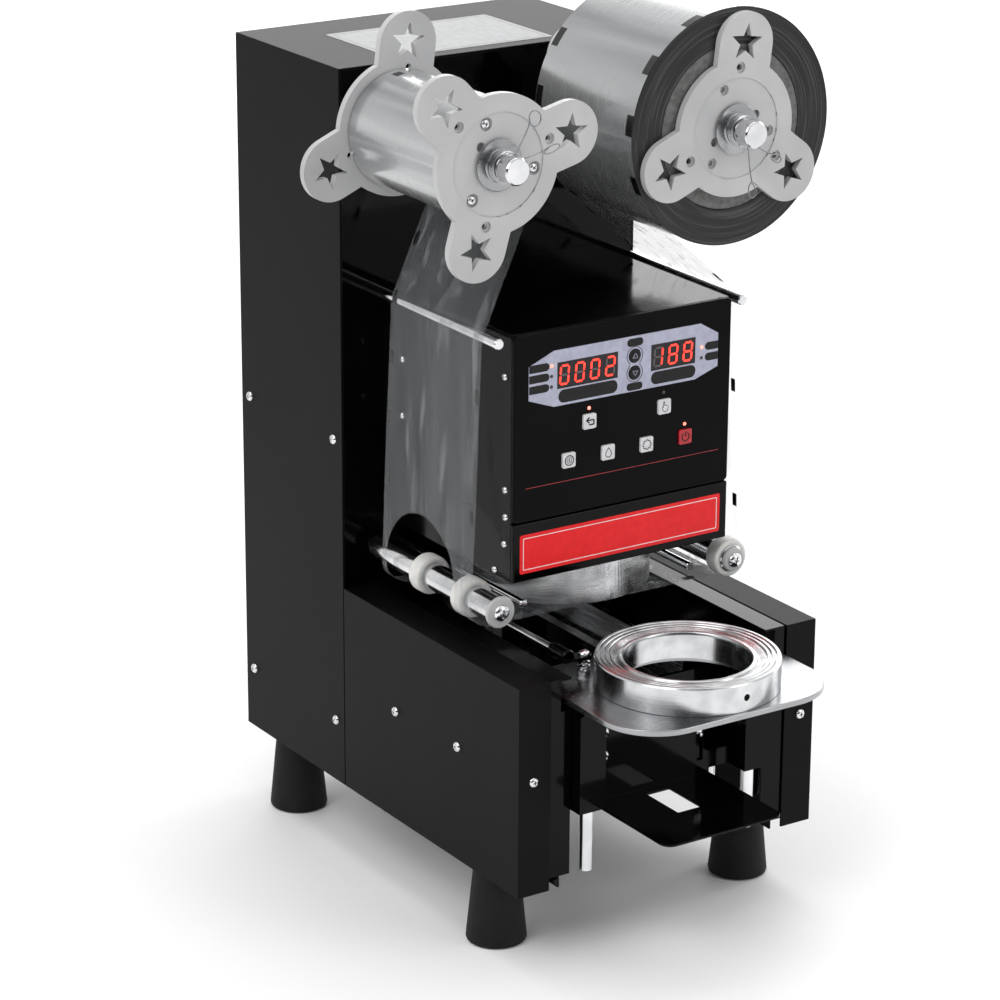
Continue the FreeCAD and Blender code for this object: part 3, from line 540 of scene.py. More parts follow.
def plate(outline, axis, low, high):
    # a flat plate from (a, b) points in mm, extruded along an axis between low and high
    deselect()
    order = {"X": "YZX", "Y": "XZY", "Z": "XYZ"}[axis]
    spots = []
    for a, b in outline:
        at = dict(zip(order, (a, b, low)))
        spots.append(Vector((at["X"], at["Y"], at["Z"])) * mm)
    bpy.ops.mesh.primitive_circle_add(vertices=len(spots), fill_type="NGON", radius=1)
    piece = bpy.context.object
    for vertex, spot in zip(piece.data.vertices, spots):
        vertex.co = spot
    along = {"X": (1, 0, 0), "Y": (0, 1, 0), "Z": (0, 0, 1)}[axis]
    bpy.ops.object.mode_set(mode="EDIT")
    bpy.ops.mesh.select_all(action="SELECT")
    bpy.ops.mesh.extrude_region_move(
        TRANSFORM_OT_translate={"value": Vector(along) * (high - low) * mm}
    )
    bpy.ops.mesh.select_all(action="SELECT")
    bpy.ops.mesh.normals_make_consistent(inside=False)
    bpy.ops.object.mode_set(mode="OBJECT")
    return piece


def merged(*pieces):
    deselect()
    for each in pieces:
        each.select_set(True)
    bpy.context.view_layer.objects.active = pieces[0]
    if len(pieces) > 1:
        bpy.ops.object.join()
    return pieces[0]


def carve(piece, *tools, operation="DIFFERENCE"):
    # cuts tools out of a piece, or joins them to it, and removes the tools
    for tool in tools:
        useModifier(piece, "BOOLEAN", object=tool, operation=operation, solver="EXACT")
        bpy.data.objects.remove(tool, do_unlink=True)
    return piece


def twin(piece):
    # a copy with its own mesh
    copy = piece.copy()
    copy.data = piece.data.copy()
    bpy.context.collection.objects.link(copy)
    return copy


def placed(piece, turn=(0, 0, 0), shift=(0, 0, 0)):
    # turns a piece about the origin, shifts it by mm, and puts both into its mesh
    piece.rotation_euler = turn
    piece.location = Vector(shift) * mm
    bake(piece)
    return piece


def fromNode(node):
    # a merged copy of a CAD node's mesh, ready for bevels
    source = bpy.data.objects[node]
    copy = bpy.data.objects.new("copy", source.data.copy())
    bpy.context.collection.objects.link(copy)
    copy.data.materials.clear()
    pick(copy)
    bpy.ops.object.mode_set(mode="EDIT")
    bpy.ops.mesh.select_all(action="SELECT")
    bpy.ops.mesh.remove_doubles(threshold=0.00001)
    bpy.ops.mesh.dissolve_limited(angle_limit=math.radians(1))
    bpy.ops.object.mode_set(mode="OBJECT")
    return copy


def arc(centre, radius, start, end, count):
    # points on an arc in degrees, for outlines
    points = []
    for index in range(count + 1):
        angle = math.radians(start + (end - start) * index / count)
        points.append((centre[0] + radius * math.cos(angle), centre[1] + radius * math.sin(angle)))
    return points


def roundedRectangle(x, z, radius, count=4):
    low, high = x
    foot, top = z
    outline = []
    for cx, cz, start in (
        (high - radius, top - radius, 0), (low + radius, top - radius, 90),
        (low + radius, foot + radius, 180), (high - radius, foot + radius, 270),
    ):
        outline += arc((cx, cz), radius, start, start + 90, count)
    return outline


# sheet-metal covers: merged copies with rolled edges
coverSettings = {
    "tower_cover": ("sheet", "black_sheet", 0.55),
    "base_cover_left": ("sheet", "black_sheet", 0.55),
    "base_cover_right": ("sheet", "black_sheet", 0.55),
    "head_shell": ("gloss", "gloss_black", 0.5),
    "front_strip": ("gloss", "gloss_black", 0.9),
    "drawer_carriage": ("gloss", "black_sheet", 0.5),
    "cup_shelf": ("gloss", "black_sheet", 0.35),
    "belt_clamp": ("gloss", "black_sheet", 0.3),
    "tray_plate": ("polished", "stainless", 0.6),
    "chassis": ("gloss", "black_sheet", 0.3),
    "tower_front_panel": ("gloss", "black_sheet", 0.3),
    "tower_back_panel": ("sheet", "black_sheet", 0.3),
}
bodyOf = {node: body for body, group in frame["record"]["behaviour"]["bodies"].items() for node in group}


def sheetCovers():
    for node, (material, slot, width) in coverSettings.items():
        piece = fromNode(node)
        bevelEdges(piece, width, 3, 40)
        smooth(piece, 40)
        settle(piece, node + "_formed", finish[material], bodyOf[node], (node,))


sheetCovers()
print("sheet covers")


# screws
screwSettings = {
    "crossLong": 0.56,
    "crossWide": 0.13,
    "crossDeep": 0.9,
    "crossFoot": 0.45,
    # (y, z) spots on both sides of the tower, the base and the head, and spots on the front
    "coverX": 120,
    "towerAndBase": ((91, 100), (206.5, 100), (91, 307), (206.5, 307), (11.4, 134), (-66.8, 136)),
    "flange": (108.6, -141, 135),
    "headX": 86.5,
    "head": ((-71, 388.5), (-72, 311.6), (-72.6, 293), (-71.4, 274), (-60, 252.8), (55, 368), (55.6, 328)),
    "shelf": ((40, -121, 131), (40, -121, 148)),
}


def panHead(radius, height):
    # a cross-recess pan head standing on z = 0 and facing +Z
    dome = [(0, 1), (0.35, 0.98), (0.65, 0.88), (0.87, 0.64), (0.98, 0.3)]
    dome = [(radius * out, height * up) for out, up in dome] + [(radius, 0.02), (radius * 0.96, 0), (0, 0)]
    head = turned(dome, "Z", (0, 0, 0), 24)
    reach = radius * screwSettings["crossLong"]
    wide = radius * screwSettings["crossWide"]
    deep = height * (1 - screwSettings["crossDeep"])
    for x, y in ((reach, wide), (wide, reach)):
        slotBlock = box((-x, x), (-y, y), (deep, height + 1))
        pick(slotBlock)
        bpy.ops.object.mode_set(mode="EDIT")
        bpy.ops.mesh.select_all(action="DESELECT")
        bpy.ops.object.mode_set(mode="OBJECT")
        for face in slotBlock.data.polygons:
            face.select = face.normal.z < -0.5
        bpy.ops.object.mode_set(mode="EDIT")
        foot = screwSettings["crossFoot"]
        bpy.ops.transform.resize(value=(foot, foot, 1))
        bpy.ops.object.mode_set(mode="OBJECT")
        carve(head, slotBlock)
    smooth(head, 35)
    return head


towards = {
    "-X": (0, -math.pi / 2, 0), "+X": (0, math.pi / 2, 0),
    "-Y": (math.pi / 2, 0, 0), "+Y": (-math.pi / 2, 0, 0), "+Z": (0, 0, 0),
}


def screwSet(name, model, spots, body, stands=(), seed=5):
    # copies of one head at (direction, x, y, z) spots, each turned its own way
    draw = random.Random(seed)
    heads = []
    for direction, x, y, z in spots:
        head = twin(model)
        placed(head, (0, 0, draw.uniform(0, tau)))
        placed(head, towards[direction], (x, y, z))
        heads.append(head)
    bpy.data.objects.remove(model, do_unlink=True)
    return settle(merged(*heads), name, finish["chrome"], body, stands)


def coverScrews():
    s = screwSettings
    large = []
    small = []
    for side, mark in ((-1, "-X"), (1, "+X")):
        large += [(mark, side * s["coverX"], y, z) for y, z in s["towerAndBase"]]
        x, y, z = s["flange"]
        large.append(("-Y", side * x, y, z))
        small += [(mark, side * s["headX"], y, z) for y, z in s["head"]]
    screwSet("cover_screw_heads", panHead(3.6, 2.2), large, "frame", ("cover_screws",))
    screwSet("head_screw_heads", panHead(2.6, 1.9), small, "frame", seed=8)
    shelf = [("-Y", side * x, y, z) for side in (-1, 1) for x, y, z in s["shelf"]]
    screwSet("shelf_screw_heads", panHead(4.4, 2.6), shelf, "drawer", ("shelf_screws",))


coverScrews()
print("screws")


# rubber feet
footSettings = {
    "profile": [
        (7, 30), (7, 1.5), (8.5, 0), (18.6, 0), (20.2, 0.6), (20.7, 2), (20.4, 5), (15.8, 51.5), (15.2, 53.6),
        (14.6, 54), (0, 54), (0, 30), (7, 30),
    ],
    "x": (-101, 101),
    "y": (-86, 178.5),
}


def rubberFeet():
    model = turned(footSettings["profile"], "Z", (0, 0, 0), 64)
    smooth(model, 30)
    feet = [placed(twin(model), shift=(x, y, 0)) for x in footSettings["x"] for y in footSettings["y"]]
    bpy.data.objects.remove(model, do_unlink=True)
    settle(merged(*feet), "conical_feet", finish["footRubber"], "frame", ("rubber_feet",))


rubberFeet()
print("feet")


# reel plates with a star in every lobe
plateSettings = {
    "disc": 46,
    "lobeReach": 56,
    "lobe": 21.5,
    "thick": 5,
    "starTip": 13,
    "starInner": 5.4,
    "dish": 34,
    "dishDeep": 0.8,
    "holeReach": 40.5,
    "screwReach": 28.3,
    "pinReach": 18,
    "bore": 9.3,
    "holeTurn": 3,
    "pinTurn": 121,
    "front": -72,
    "rear": 47,
    "screwTurn": 94,
    "drilledTurn": 27,
}


def discTool(x, z, radius, low, high, steps=32):
    return turned([(0, low), (radius, low), (radius, high), (0, high)], "Y", (x, 0, z), steps)


def around(reach, degrees):
    return reach * math.cos(math.radians(degrees)), reach * math.sin(math.radians(degrees))


def reelPlate(screwed, screwTurn):
    # a plate facing -Y with its front at y = 0 and its first arm along +X
    s = plateSettings
    body = discTool(0, 0, s["disc"], 0, s["thick"], 96)
    for turn in (0, 120, 240):
        arm = [(0, -s["lobe"])] + arc((s["lobeReach"], 0), s["lobe"], -90, 90, 28) + [(0, s["lobe"])]
        cosine, sine = around(1, turn)
        outline = [(x * cosine - z * sine, x * sine + z * cosine) for x, z in arm]
        carve(body, plate(outline, "Y", 0, s["thick"]), operation="UNION")
    for turn in (0, 120, 240):
        x, z = around(s["lobeReach"] + 1, turn)
        star = []
        for tip in range(10):
            across, up = around(s["starTip"] if tip % 2 == 0 else s["starInner"], turn + 36 * tip)
            star.append((x + across, z + up))
        carve(body, plate(star, "Y", -2, s["thick"] + 2))
        x, z = around(s["holeReach"], turn + s["holeTurn"])
        carve(body, discTool(x, z, 2.1, -1, s["thick"] + 1, 20))
        carve(body, discTool(x, z, 3.7, -1, 1.8, 28))
    carve(body, discTool(0, 0, s["dish"], -1, s["dishDeep"], 96))
    for turn in (0, 120, 240):
        x, z = around(s["screwReach"], turn + screwTurn)
        carve(body, discTool(x, z, 4.5 if screwed else 3.6, -1, 2.9, 28))
        if not screwed:
            carve(body, discTool(x, z, 2.0, -1, s["thick"] + 1, 20))
    for turn in (s["pinTurn"], s["pinTurn"] + 180):
        x, z = around(s["pinReach"], turn)
        carve(body, discTool(x, z, 3.2, -1, s["thick"] + 1, 24))
    carve(body, discTool(0, 0, s["bore"], -1, s["thick"] + 1, 48))
    pick(body)
    bpy.ops.object.mode_set(mode="EDIT")
    bpy.ops.mesh.select_all(action="SELECT")
    bpy.ops.mesh.remove_doubles(threshold=0.00002)
    bpy.ops.mesh.dissolve_limited(angle_limit=math.radians(0.6))
    bpy.ops.object.mode_set(mode="OBJECT")
    bevelEdges(body, 0.5, 3, 40)
    smooth(body, 35)
    return body


def hub(low, high):
    # spigot behind a plate that centres the film core
    profile = [(9.4, low), (33, low), (34.4, low + 1.2), (34.7, high), (9.4, high), (9.4, low)]
    piece = turned(profile, "Y", (0, 0, 0), 72)
    smooth(piece, 35)
    return piece


def reelPlates():
    s = plateSettings
    screwedPlate = reelPlate(True, s["screwTurn"])
    drilledPlate = reelPlate(False, s["drilledTurn"])
    takeUpTurn = 14
    jobs = (
        ("take_up_front_plate", screwedPlate, -reelX, takeUpTurn, False, "take_up_reel"),
        ("take_up_rear_plate", drilledPlate, -reelX, 83, True, "take_up_reel"),
        ("supply_front_plate", drilledPlate, reelX, 83, False, "supply_reel"),
        ("supply_rear_plate", drilledPlate, reelX, 25, True, "supply_reel"),
    )
    for node, model, x, lobe, isRear, body in jobs:
        star = twin(model)
        y = s["rear"] if isRear else s["front"]
        if isRear:
            # the rear plate is the same moulding the other way round
            placed(star, (0, 0, math.pi), (0, s["thick"], 0))
            lobe -= 180
        placed(star, (0, -math.radians(lobe), 0), (x, y, reelZ))
        spigot = placed(hub(-12, 0.2) if isRear else hub(4.8, 17), shift=(x, y, reelZ))
        settle(merged(star, spigot), node + "_moulded", finish["abs"], body, (node,))
    for model in (screwedPlate, drilledPlate):
        bpy.data.objects.remove(model, do_unlink=True)
    spots = []
    for turn in (0, 120, 240):
        x, z = around(s["screwReach"], takeUpTurn + turn + s["screwTurn"])
        spots.append(("-Y", -reelX + x, s["front"] + 2.7, reelZ + z))
    screwSet("take_up_plate_screws", panHead(3.3, 2.0), spots, "take_up_reel", seed=3)


reelPlates()
print("reel plates")


# shafts with threads, collars and spring clips
shaftSettings = {
    "tip": -95,
    "radius": 9.2,
    "flange": 17,
    "neck": 10.8,
}


def reelShaft(name, x, rear, body, node):
    # chamfered shaft with a groove for the neck and a collar behind the reel
    tip, radius = shaftSettings["tip"], shaftSettings["radius"]
    profile = [(0, tip), (radius - 1.1, tip), (radius - 0.15, tip + 0.9), (radius, tip + 1.4), (radius, -82.4)]
    profile += [(radius - 0.9, -82.2), (radius - 0.9, -81), (radius, -80.8), (radius, 53.9), (12.4, 54), (13, 54.6)]
    profile += [(13, 63.4), (12.4, 64), (radius, 64), (radius, rear), (0, rear)]
    shaft = turned(profile, "Y", (x, 0, reelZ), 64)
    smooth(shaft, 30)
    return settle(shaft, name, finish["chrome"], body, (node,))


def shaftCollar(name, x, body):
    # flanged bush with a threaded neck that holds the plate on the shaft
    bore = shaftSettings["radius"] + 0.02
    neck, flange = shaftSettings["neck"], shaftSettings["flange"]
    profile = [(bore, -81.6), (neck - 0.8, -81.6)]
    y = -81.3
    while y < -76.4:
        profile += [(neck, y), (neck, y + 0.5), (neck - 0.6, y + 0.85)]
        y += 1.25
    profile += [(neck - 0.5, -74.8), (neck + 0.4, -74.2), (flange - 0.5, -74.0), (flange, -73.6), (flange, -72.8)]
    profile += [(flange - 0.4, -72.2), (bore, -72.2), (bore, -81.6)]
    collar = turned(profile, "Y", (x, 0, reelZ), 72)
    smooth(collar, 30)
    return settle(collar, name, finish["polished"], body)


def tubeAlong(points, radius, sides=10, order=3):
    # a wire along points in mm, as a mesh
    curve = bpy.data.curves.new("wire", "CURVE")
    curve.dimensions = "3D"
    curve.bevel_depth = radius * mm
    curve.bevel_resolution = sides // 4
    curve.use_fill_caps = True
    line = curve.splines.new("NURBS")
    line.points.add(len(points) - 1)
    for point, spot in zip(line.points, points):
        point.co = (*[v * mm for v in spot], 1)
    line.order_u = order
    line.use_endpoint_u = True
    line.resolution_u = 6
    wire = bpy.data.objects.new("wire", curve)
    bpy.context.collection.objects.link(wire)
    pick(wire)
    bpy.ops.object.convert(target="MESH")
    return bpy.context.object


clipLegs = {
    # start round the shaft, heading, length, and the eye's length and width
    "take_up": ((80, 59, 23, 9.5, 9), (43, 12, 17, 13, 4.2)),
    "supply": ((-100, -84, 25, 11, 6.5), (-74, -32, 17, 9.5, 5.5)),
}


def springClip(name, x, legs, body, node):
    # hairpin clip through the cross hole: two straight sprung legs, each ending in an eye
    rim = shaftSettings["radius"] + 0.3
    wireRadius = 0.45
    eye = ((0, 0), (0.5, 0.5), (0.98, 0.42), (1.06, -0.2), (0.6, -0.58), (0.08, -0.42), (-0.02, 0.12), (0.3, 0.46))
    wires = []
    for start, heading, length, eyeLong, eyeWide in legs:
        fromX, fromZ = around(rim - 2, start)
        cosine, sine = around(1, heading)
        line = [(fromX, 0, fromZ), (fromX + 2.5 * cosine, -0.2, fromZ + 2.5 * sine)]
        for share, (along, across) in enumerate(eye):
            reach = length + along * eyeLong
            side = across * eyeWide
            away = -1 - 0.35 * share
            line.append((fromX + reach * cosine - side * sine, away, fromZ + reach * sine + side * cosine))
        wires.append(tubeAlong(line, wireRadius))
    startX, startZ = around(rim, legs[0][0])
    wires.append(tubeAlong([(startX, 0, startZ), (0, 0.2, 0), (-startX, 0, -startZ)], wireRadius))
    clip = merged(*wires)
    smooth(clip, 60)
    placed(clip, shift=(x, shaftSettings["tip"] + 8, reelZ))
    return settle(clip, name, finish["wire"], body, (node,))


reelShaft("take_up_shaft_turned", -reelX, 145, "take_up_reel", "take_up_shaft")
reelShaft("supply_shaft_turned", reelX, 100, "frame", "supply_shaft")
shaftCollar("take_up_bush", -reelX, "take_up_reel")
shaftCollar("supply_bush", reelX, "frame")
springClip("take_up_clip_wire", -reelX, clipLegs["take_up"], "take_up_reel", "take_up_clip")
springClip("supply_clip_wire", reelX, clipLegs["supply"], "frame", "supply_clip")
print("shafts and clips")


# wound film
def filmRoll(name, x, radius, core, body, node, marks):
    # film turns between the plates, wound round the given core radius, with dark registration marks
    front, rear = -66.9, 46.9
    profile = [(core, front + 0.2), (radius - 0.6, front + 0.2), (radius, front + 0.7), (radius, rear - 0.7)]
    profile += [(radius - 0.6, rear - 0.2), (core, rear - 0.2), (core, front + 0.2)]
    roll = turned(profile, "Y", (x, 0, reelZ), 160)
    smooth(roll, 40)
    wound = woundFilm(name + "_surface", x)
    side = rollSide(name + "_cut_edges", x)
    settle(roll, name, (wound, side), body, (node,))
    for face in roll.data.polygons:
        face.material_index = 1 if abs(face.normal.y) > 0.6 else 0
    patches = []
    for y, start, sweep in marks:
        arcPoints = arc((x, reelZ), radius + 0.06, start, start + sweep, 8)
        arcPoints += arc((x, reelZ), radius + 0.02, start + sweep, start, 8)
        patches.append(plate(arcPoints, "Y", y, y + 7))
    settle(merged(*patches), name + "_eye_marks", finish["eyeMark"], body)


takeUpMarks = [(33, 96, 9)]
supplyMarks = []
for index in range(12):
    supplyMarks.append((-66.2, 138 + 30 * index, 10))
    supplyMarks.append((38.8, 138 + 30 * index, 10))
filmRoll("take_up_film", -reelX, windingRadius, coreBore, "take_up_reel", "wound_film", takeUpMarks)
filmRoll("supply_film_roll", reelX, rollRadius, coreRadius, "supply_reel", "supply_film", supplyMarks)


def filmCore():
    # a card tube, a little short of the film at both ends
    front, rear, rim = -65.6, 45.4, coreRadius - 0.4
    profile = [(coreBore, front), (rim - 0.4, front), (rim, front + 0.4), (rim, rear), (coreBore, rear)]
    core = turned(profile + profile[:1], "Y", (reelX, 0, reelZ), 72)
    smooth(core, 40)
    settle(core, "supply_core", finish["core"], "supply_reel")


filmCore()
print("rolls")

# control panel
panelSettings = {
    "front": -81.5,
    "back": -78.5,
    "half": 86.5,
    "windows": (((-53.5, -5.5), (377.5, 395.5)), ((21, 57), (377.5, 395.5))),
    "keyGap": 5.5,
    "keyHalf": 5.15,
    "printLift": 0.12,
    "surroundThick": 0.6,
    "surround": [
        (-75.5, 373), (-56, 366), (57, 366), (75.5, 372.5), (75.5, 395.5), (61, 404), (-56, 404), (-75.5, 396),
    ],
    "pills": (
        ((-52.4, -5.8), (367.7, 376.6)), ((21.2, 57.2), (368, 376.6)),
        ((1.6, 14.2), (397, 402.4)), ((1.6, 14.2), (366.8, 372)),
    ),
    "leftPills": (394, 387, 379.8),
    "rightPills": (387.6, 380.2),
}
panelFront = panelSettings["front"]
printFront = panelFront - panelSettings["surroundThick"]


def centreOf(node):
    low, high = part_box(node)
    return [(a + b) / 2 / mm for a, b in zip(low, high)]


arrowButtons = ("up_button", "down_button")
squareKeys = ("return_key", "hand_key", "count_key", "drop_key", "set_key", "power_key")


def controlPanel():
    s = panelSettings
    panel = plate(roundedRectangle((-s["half"], s["half"]), (290, 418), 3.2, 6), "Y", s["front"], s["back"])
    bevelEdges(panel, 0.9, 3, 50)
    before, behind = s["front"] - 2.5, s["back"] + 2.5
    for x, z in s["windows"]:
        carve(panel, box(x, (before, behind), z))
    for node in arrowButtons:
        x, _, z = centreOf(node)
        carve(panel, discTool(x, z, 4.8, before, behind, 32))
    for node in squareKeys:
        x, _, z = centreOf(node)
        gap = s["keyGap"]
        carve(panel, plate(roundedRectangle((x - gap, x + gap), (z - gap, z + gap), 1.3), "Y", before, behind))
    smooth(panel, 40)
    settle(panel, "control_panel_face", finish["overlay"], "frame", ("control_panel",))


def displayPlate():
    s = panelSettings
    sheet = plate(s["surround"], "Y", printFront, panelFront)
    before, behind = panelFront - 2.5, panelFront + 1.5
    for x, z in s["windows"]:
        carve(sheet, box(x, (before, behind), z))
    for node in arrowButtons:
        x, _, z = centreOf(node)
        carve(sheet, discTool(x, z, 4.9, before, behind, 32))
    bevelEdges(sheet, 0.15, 2, 40)
    smooth(sheet, 40)
    settle(sheet, "display_surround", finish["silverPrint"], "frame", ("display_window",))
    pills = [roundedRectangle(x, z, (z[1] - z[0]) / 2 - 0.2, 6) for x, z in s["pills"]]
    edge, radius = 75.3, 2.7
    for z in s["leftPills"]:
        pills.append([(-edge, z - radius)] + arc((-62.4, z), radius, -90, 90, 8) + [(-edge, z + radius)])
    for z in s["rightPills"]:
        pills.append([(edge, z + radius)] + arc((67.4, z), radius, 90, 270, 8) + [(edge, z - radius)])
    captions = merged(*[plate(outline, "Y", printFront - s["printLift"], printFront) for outline in pills])
    smooth(captions, 40)
    settle(captions, "caption_pills", finish["blackPrint"], "frame")
    x, _, upZ = centreOf("up_button")
    _, _, downZ = centreOf("down_button")
    outer, inner = (
        arc((x, upZ), radius, -50, 230, 20) + arc((x, downZ), radius, 130, 410, 20) for radius in (6.5, 6.1)
    )
    ring = plate(outer, "Y", printFront - s["printLift"], printFront)
    carve(ring, plate(inner, "Y", printFront - 2, printFront + 2))
    settle(ring, "button_outline", finish["blackPrint"], "frame")


readoutSettings = {
    "front": -81.6,
    "middleZ": 386.4,
    "bar": 6.2,
    "wide": 7.0,
    "thick": 1.35,
    "lean": 4,
    # first digit's place, pitch and what is shown
    "digits": ((-47.5, 12.05, "0002"), (27.1, 11.95, "188")),
    "shown": {"0": "abcdef", "2": "abged", "1": "bc", "8": "abcdefg"},
}


def readouts():
    # dark lenses with seven-segment digits, lit and unlit
    s = readoutSettings
    lenses = []
    for x, z in panelSettings["windows"]:
        lenses.append(box((x[0] + 0.05, x[1] - 0.05), (s["front"], -80.3), (z[0] + 0.05, z[1] - 0.05)))
    lens = merged(*lenses)
    bevelEdges(lens, 0.2, 2, 40)
    settle(lens, "readout_lenses", finish["lens"], "frame")
    long, thick = s["bar"], s["thick"]
    half = long / 2 - 0.35
    bar = plate([
        (-half, 0), (-half + thick / 2, thick / 2), (half - thick / 2, thick / 2),
        (half, 0), (half - thick / 2, -thick / 2), (-half + thick / 2, -thick / 2),
    ], "Y", -panelSettings["printLift"], 0)
    side = s["wide"] / 2 - 0.35
    # across, up and whether the segment stands
    places = {
        "a": (0, long, False), "g": (0, 0, False), "d": (0, -long, False),
        "f": (-side, long / 2, True), "b": (side, long / 2, True),
        "e": (-side, -long / 2, True), "c": (side, -long / 2, True),
    }
    lit = []
    unlit = []
    lean = math.radians(s["lean"])
    digits = [(first + pitch * index, mark) for first, pitch, row in s["digits"] for index, mark in enumerate(row)]
    for x, mark in digits:
        for segment, (across, up, standing) in places.items():
            piece = twin(bar)
            placed(piece, (0, math.pi / 2 if standing else 0, 0))
            spot = (x + across + up * math.tan(lean), s["front"], s["middleZ"] + up)
            placed(piece, (0, lean if standing else 0, 0), spot)
            (lit if segment in s["shown"][mark] else unlit).append(piece)
    bpy.data.objects.remove(bar, do_unlink=True)
    settle(merged(*lit), "lit_segments", finish["segmentOn"], "frame")
    settle(merged(*unlit), "unlit_segments", finish["segmentOff"], "frame")


# (x, z, whether it sits on the display surround) and the finish of each row of lamps
lampSettings = {
    "lit_lamps": ("ledOn", ((-57.9, 394, True), (62, 387.6, True), (-27.7, 360.3, False), (49.8, 336.1, False))),
    "unlit_lamps": ("ledOff", ((-57.9, 387, True), (-57.9, 379.8, True), (62, 380.2, True), (32.1, 361, False))),
}


def lamps():
    # small domed indicator lamps
    model = turned([(0, -0.55), (0.7, -0.48), (1.15, -0.2), (1.25, 0.1), (0, 0.1)], "Y", (0, 0, 0), 20)
    smooth(model, 60)
    for name, (look, spots) in lampSettings.items():
        domes = [placed(twin(model), shift=(x, printFront if on else panelFront, z)) for x, z, on in spots]
        settle(merged(*domes), name, finish[look], "frame")
    bpy.data.objects.remove(model, do_unlink=True)


keyFront = -82.9


def wire(x, z, points, radius, sharp=True):
    # a printed line on a key whose middle is (x, z), standing a little proud of the face
    spots = [(x + across, keyFront + 0.02, z + up) for across, up in points]
    return tubeAlong(spots, radius, 6, 2 if sharp else 3)


def cogOutline():
    points = []
    for tooth in range(9):
        angle = 45 * tooth
        points += arc((0, 0), 3.4, angle - 11, angle + 11, 1) + arc((0, 0), 2.6, angle + 18, angle + 27, 1)
    return points[:33] + points[:1]


# plain pictograms: lines round the middle of each key, as (points, radius, whether corners stay sharp)
iconLines = {
    "return_key": (
        ([(3, -2.2), (3, 1), (-2.2, 1)], 0.5, True),
        ([(3, -2.2), (-0.6, -2.2)], 0.5, True),
        ([(-0.6, 2.9), (-3, 1), (-0.6, -0.9)], 0.5, True),
    ),
    "hand_key": (
        ([
            (-1.2, 0), (-2.5, 0.2), (-1.5, -2), (-0.6, -3.4), (2, -3.4), (2.7, -1.2), (2.7, 0.4), (1.2, 0.8), (-0.1, 1),
        ], 0.22, False),
        ([(-0.1, 0.8), (-0.2, 3.6), (-1.1, 3.6), (-1.2, -0.6)], 0.22, False),
    ),
    "count_key": (
        (arc((0, 0), 3.3, 0, 360, 24), 0.35, True),
        (arc((0, 0), 1.9, 0, 360, 18), 0.22, True),
        ([(0, -0.9), (0, 0.9)], 0.4, True),
    ),
    "drop_key": (([(0, 3.4)] + arc((0, -0.9), 2.3, 30, -210, 16) + [(0, 3.4)], 0.26, True),),
    "set_key": ((cogOutline(), 0.26, True),),
    "power_key": (
        (arc((0, 0), 2.9, 125, 415, 20), 0.36, True),
        ([(0, 0.2), (0, 3.4)], 0.36, True),
    ),
    "up_button": (([(-2, -1.3), (2, -1.3), (0, 2), (-2, -1.3)], 0.2, True),),
    "down_button": (([(-2, 1.3), (2, 1.3), (0, -2), (-2, 1.3)], 0.2, True),),
}


def finishKey(node, cap, x, z, look, icon):
    # adds the pictogram to a cap, in its own finish
    count = len(cap.data.polygons)
    lines = merged(*[wire(x, z, points, radius, sharp) for points, radius, sharp in iconLines[node]])
    key = merged(cap, lines)
    settle(key, node + "_cap", (finish[look], finish[icon]), node, (node,))
    for index, polygon in enumerate(key.data.polygons):
        polygon.material_index = 0 if index < count else 1


def keys():
    half = panelSettings["keyHalf"]
    for node in squareKeys:
        x, _, z = centreOf(node)
        cap = plate(roundedRectangle((x - half, x + half), (z - half, z + half), 1.3, 5), "Y", keyFront, -75.5)
        bevelEdges(cap, 0.35, 3, 50)
        smooth(cap, 45)
        red = node == "power_key"
        finishKey(node, cap, x, z, "keyRed" if red else "keyFace", "blackPrint")
    rim = [(0, -82.95), (3.4, -82.85), (4.2, -82.6), (4.5, -82.1), (4.5, -75.5), (0, -75.5)]
    for node in arrowButtons:
        x, _, z = centreOf(node)
        cap = turned(rim, "Y", (x, 0, z), 40)
        smooth(cap, 30)
        finishKey(node, cap, x, z, "blackPrint", "silverPrint")


labelSettings = {
    # ranges along x and z on the panel and the front strip, with corner radii
    "line": ((-77, 78), (313, 313.45)),
    "red": ((-81.3, 80.6), (254.6, 281.6), 1.4),
    "borderOuter": ((-78.8, 78.1), (257, 279.2), 0.8),
    "borderInner": ((-78.3, 77.6), (257.5, 278.7), 0.5),
    # ranges along x and y on the tower's top
    "paper": ((-72, 58), (92, 178), 1.5),
    "paperOuter": ((-69, 55), (95, 175), 1),
    "paperInner": ((-68.2, 54.2), (95.8, 174.2), 0.8),
    "towerTop": 566,
}


def labels():
    s = labelSettings
    back = panelFront + 0.05
    x, z = s["line"]
    line = box(x, (panelFront - 0.06, back), z)
    bevelEdges(line, 0.03, 1, 50)
    settle(line, "panel_red_line", finish["redLine"], "frame")
    label = plate(roundedRectangle(*s["red"]), "Y", panelFront - 0.18, back)
    bevelEdges(label, 0.08, 1, 50)
    settle(label, "plain_red_label", finish["redPrint"], "frame")
    border = plate(roundedRectangle(*s["borderOuter"]), "Y", panelFront - 0.26, panelFront - 0.16)
    carve(border, plate(roundedRectangle(*s["borderInner"]), "Y", panelFront - 1.5, panelFront + 1.5))
    settle(border, "label_border", finish["whitePrint"], "frame")
    top = s["towerTop"]
    paper = plate(roundedRectangle(*s["paper"], 3), "Z", top - 0.1, top + 0.18)
    settle(paper, "top_paper_label", finish["paper"], "frame")
    paperBorder = plate(roundedRectangle(*s["paperOuter"], 3), "Z", top + 0.1, top + 0.24)
    carve(paperBorder, plate(roundedRectangle(*s["paperInner"], 3), "Z", top - 6, top + 4))
    settle(paperBorder, "paper_label_border", finish["paperInk"], "frame")


controlPanel()
displayPlate()
readouts()
lamps()
keys()
labels()
print("control panel")


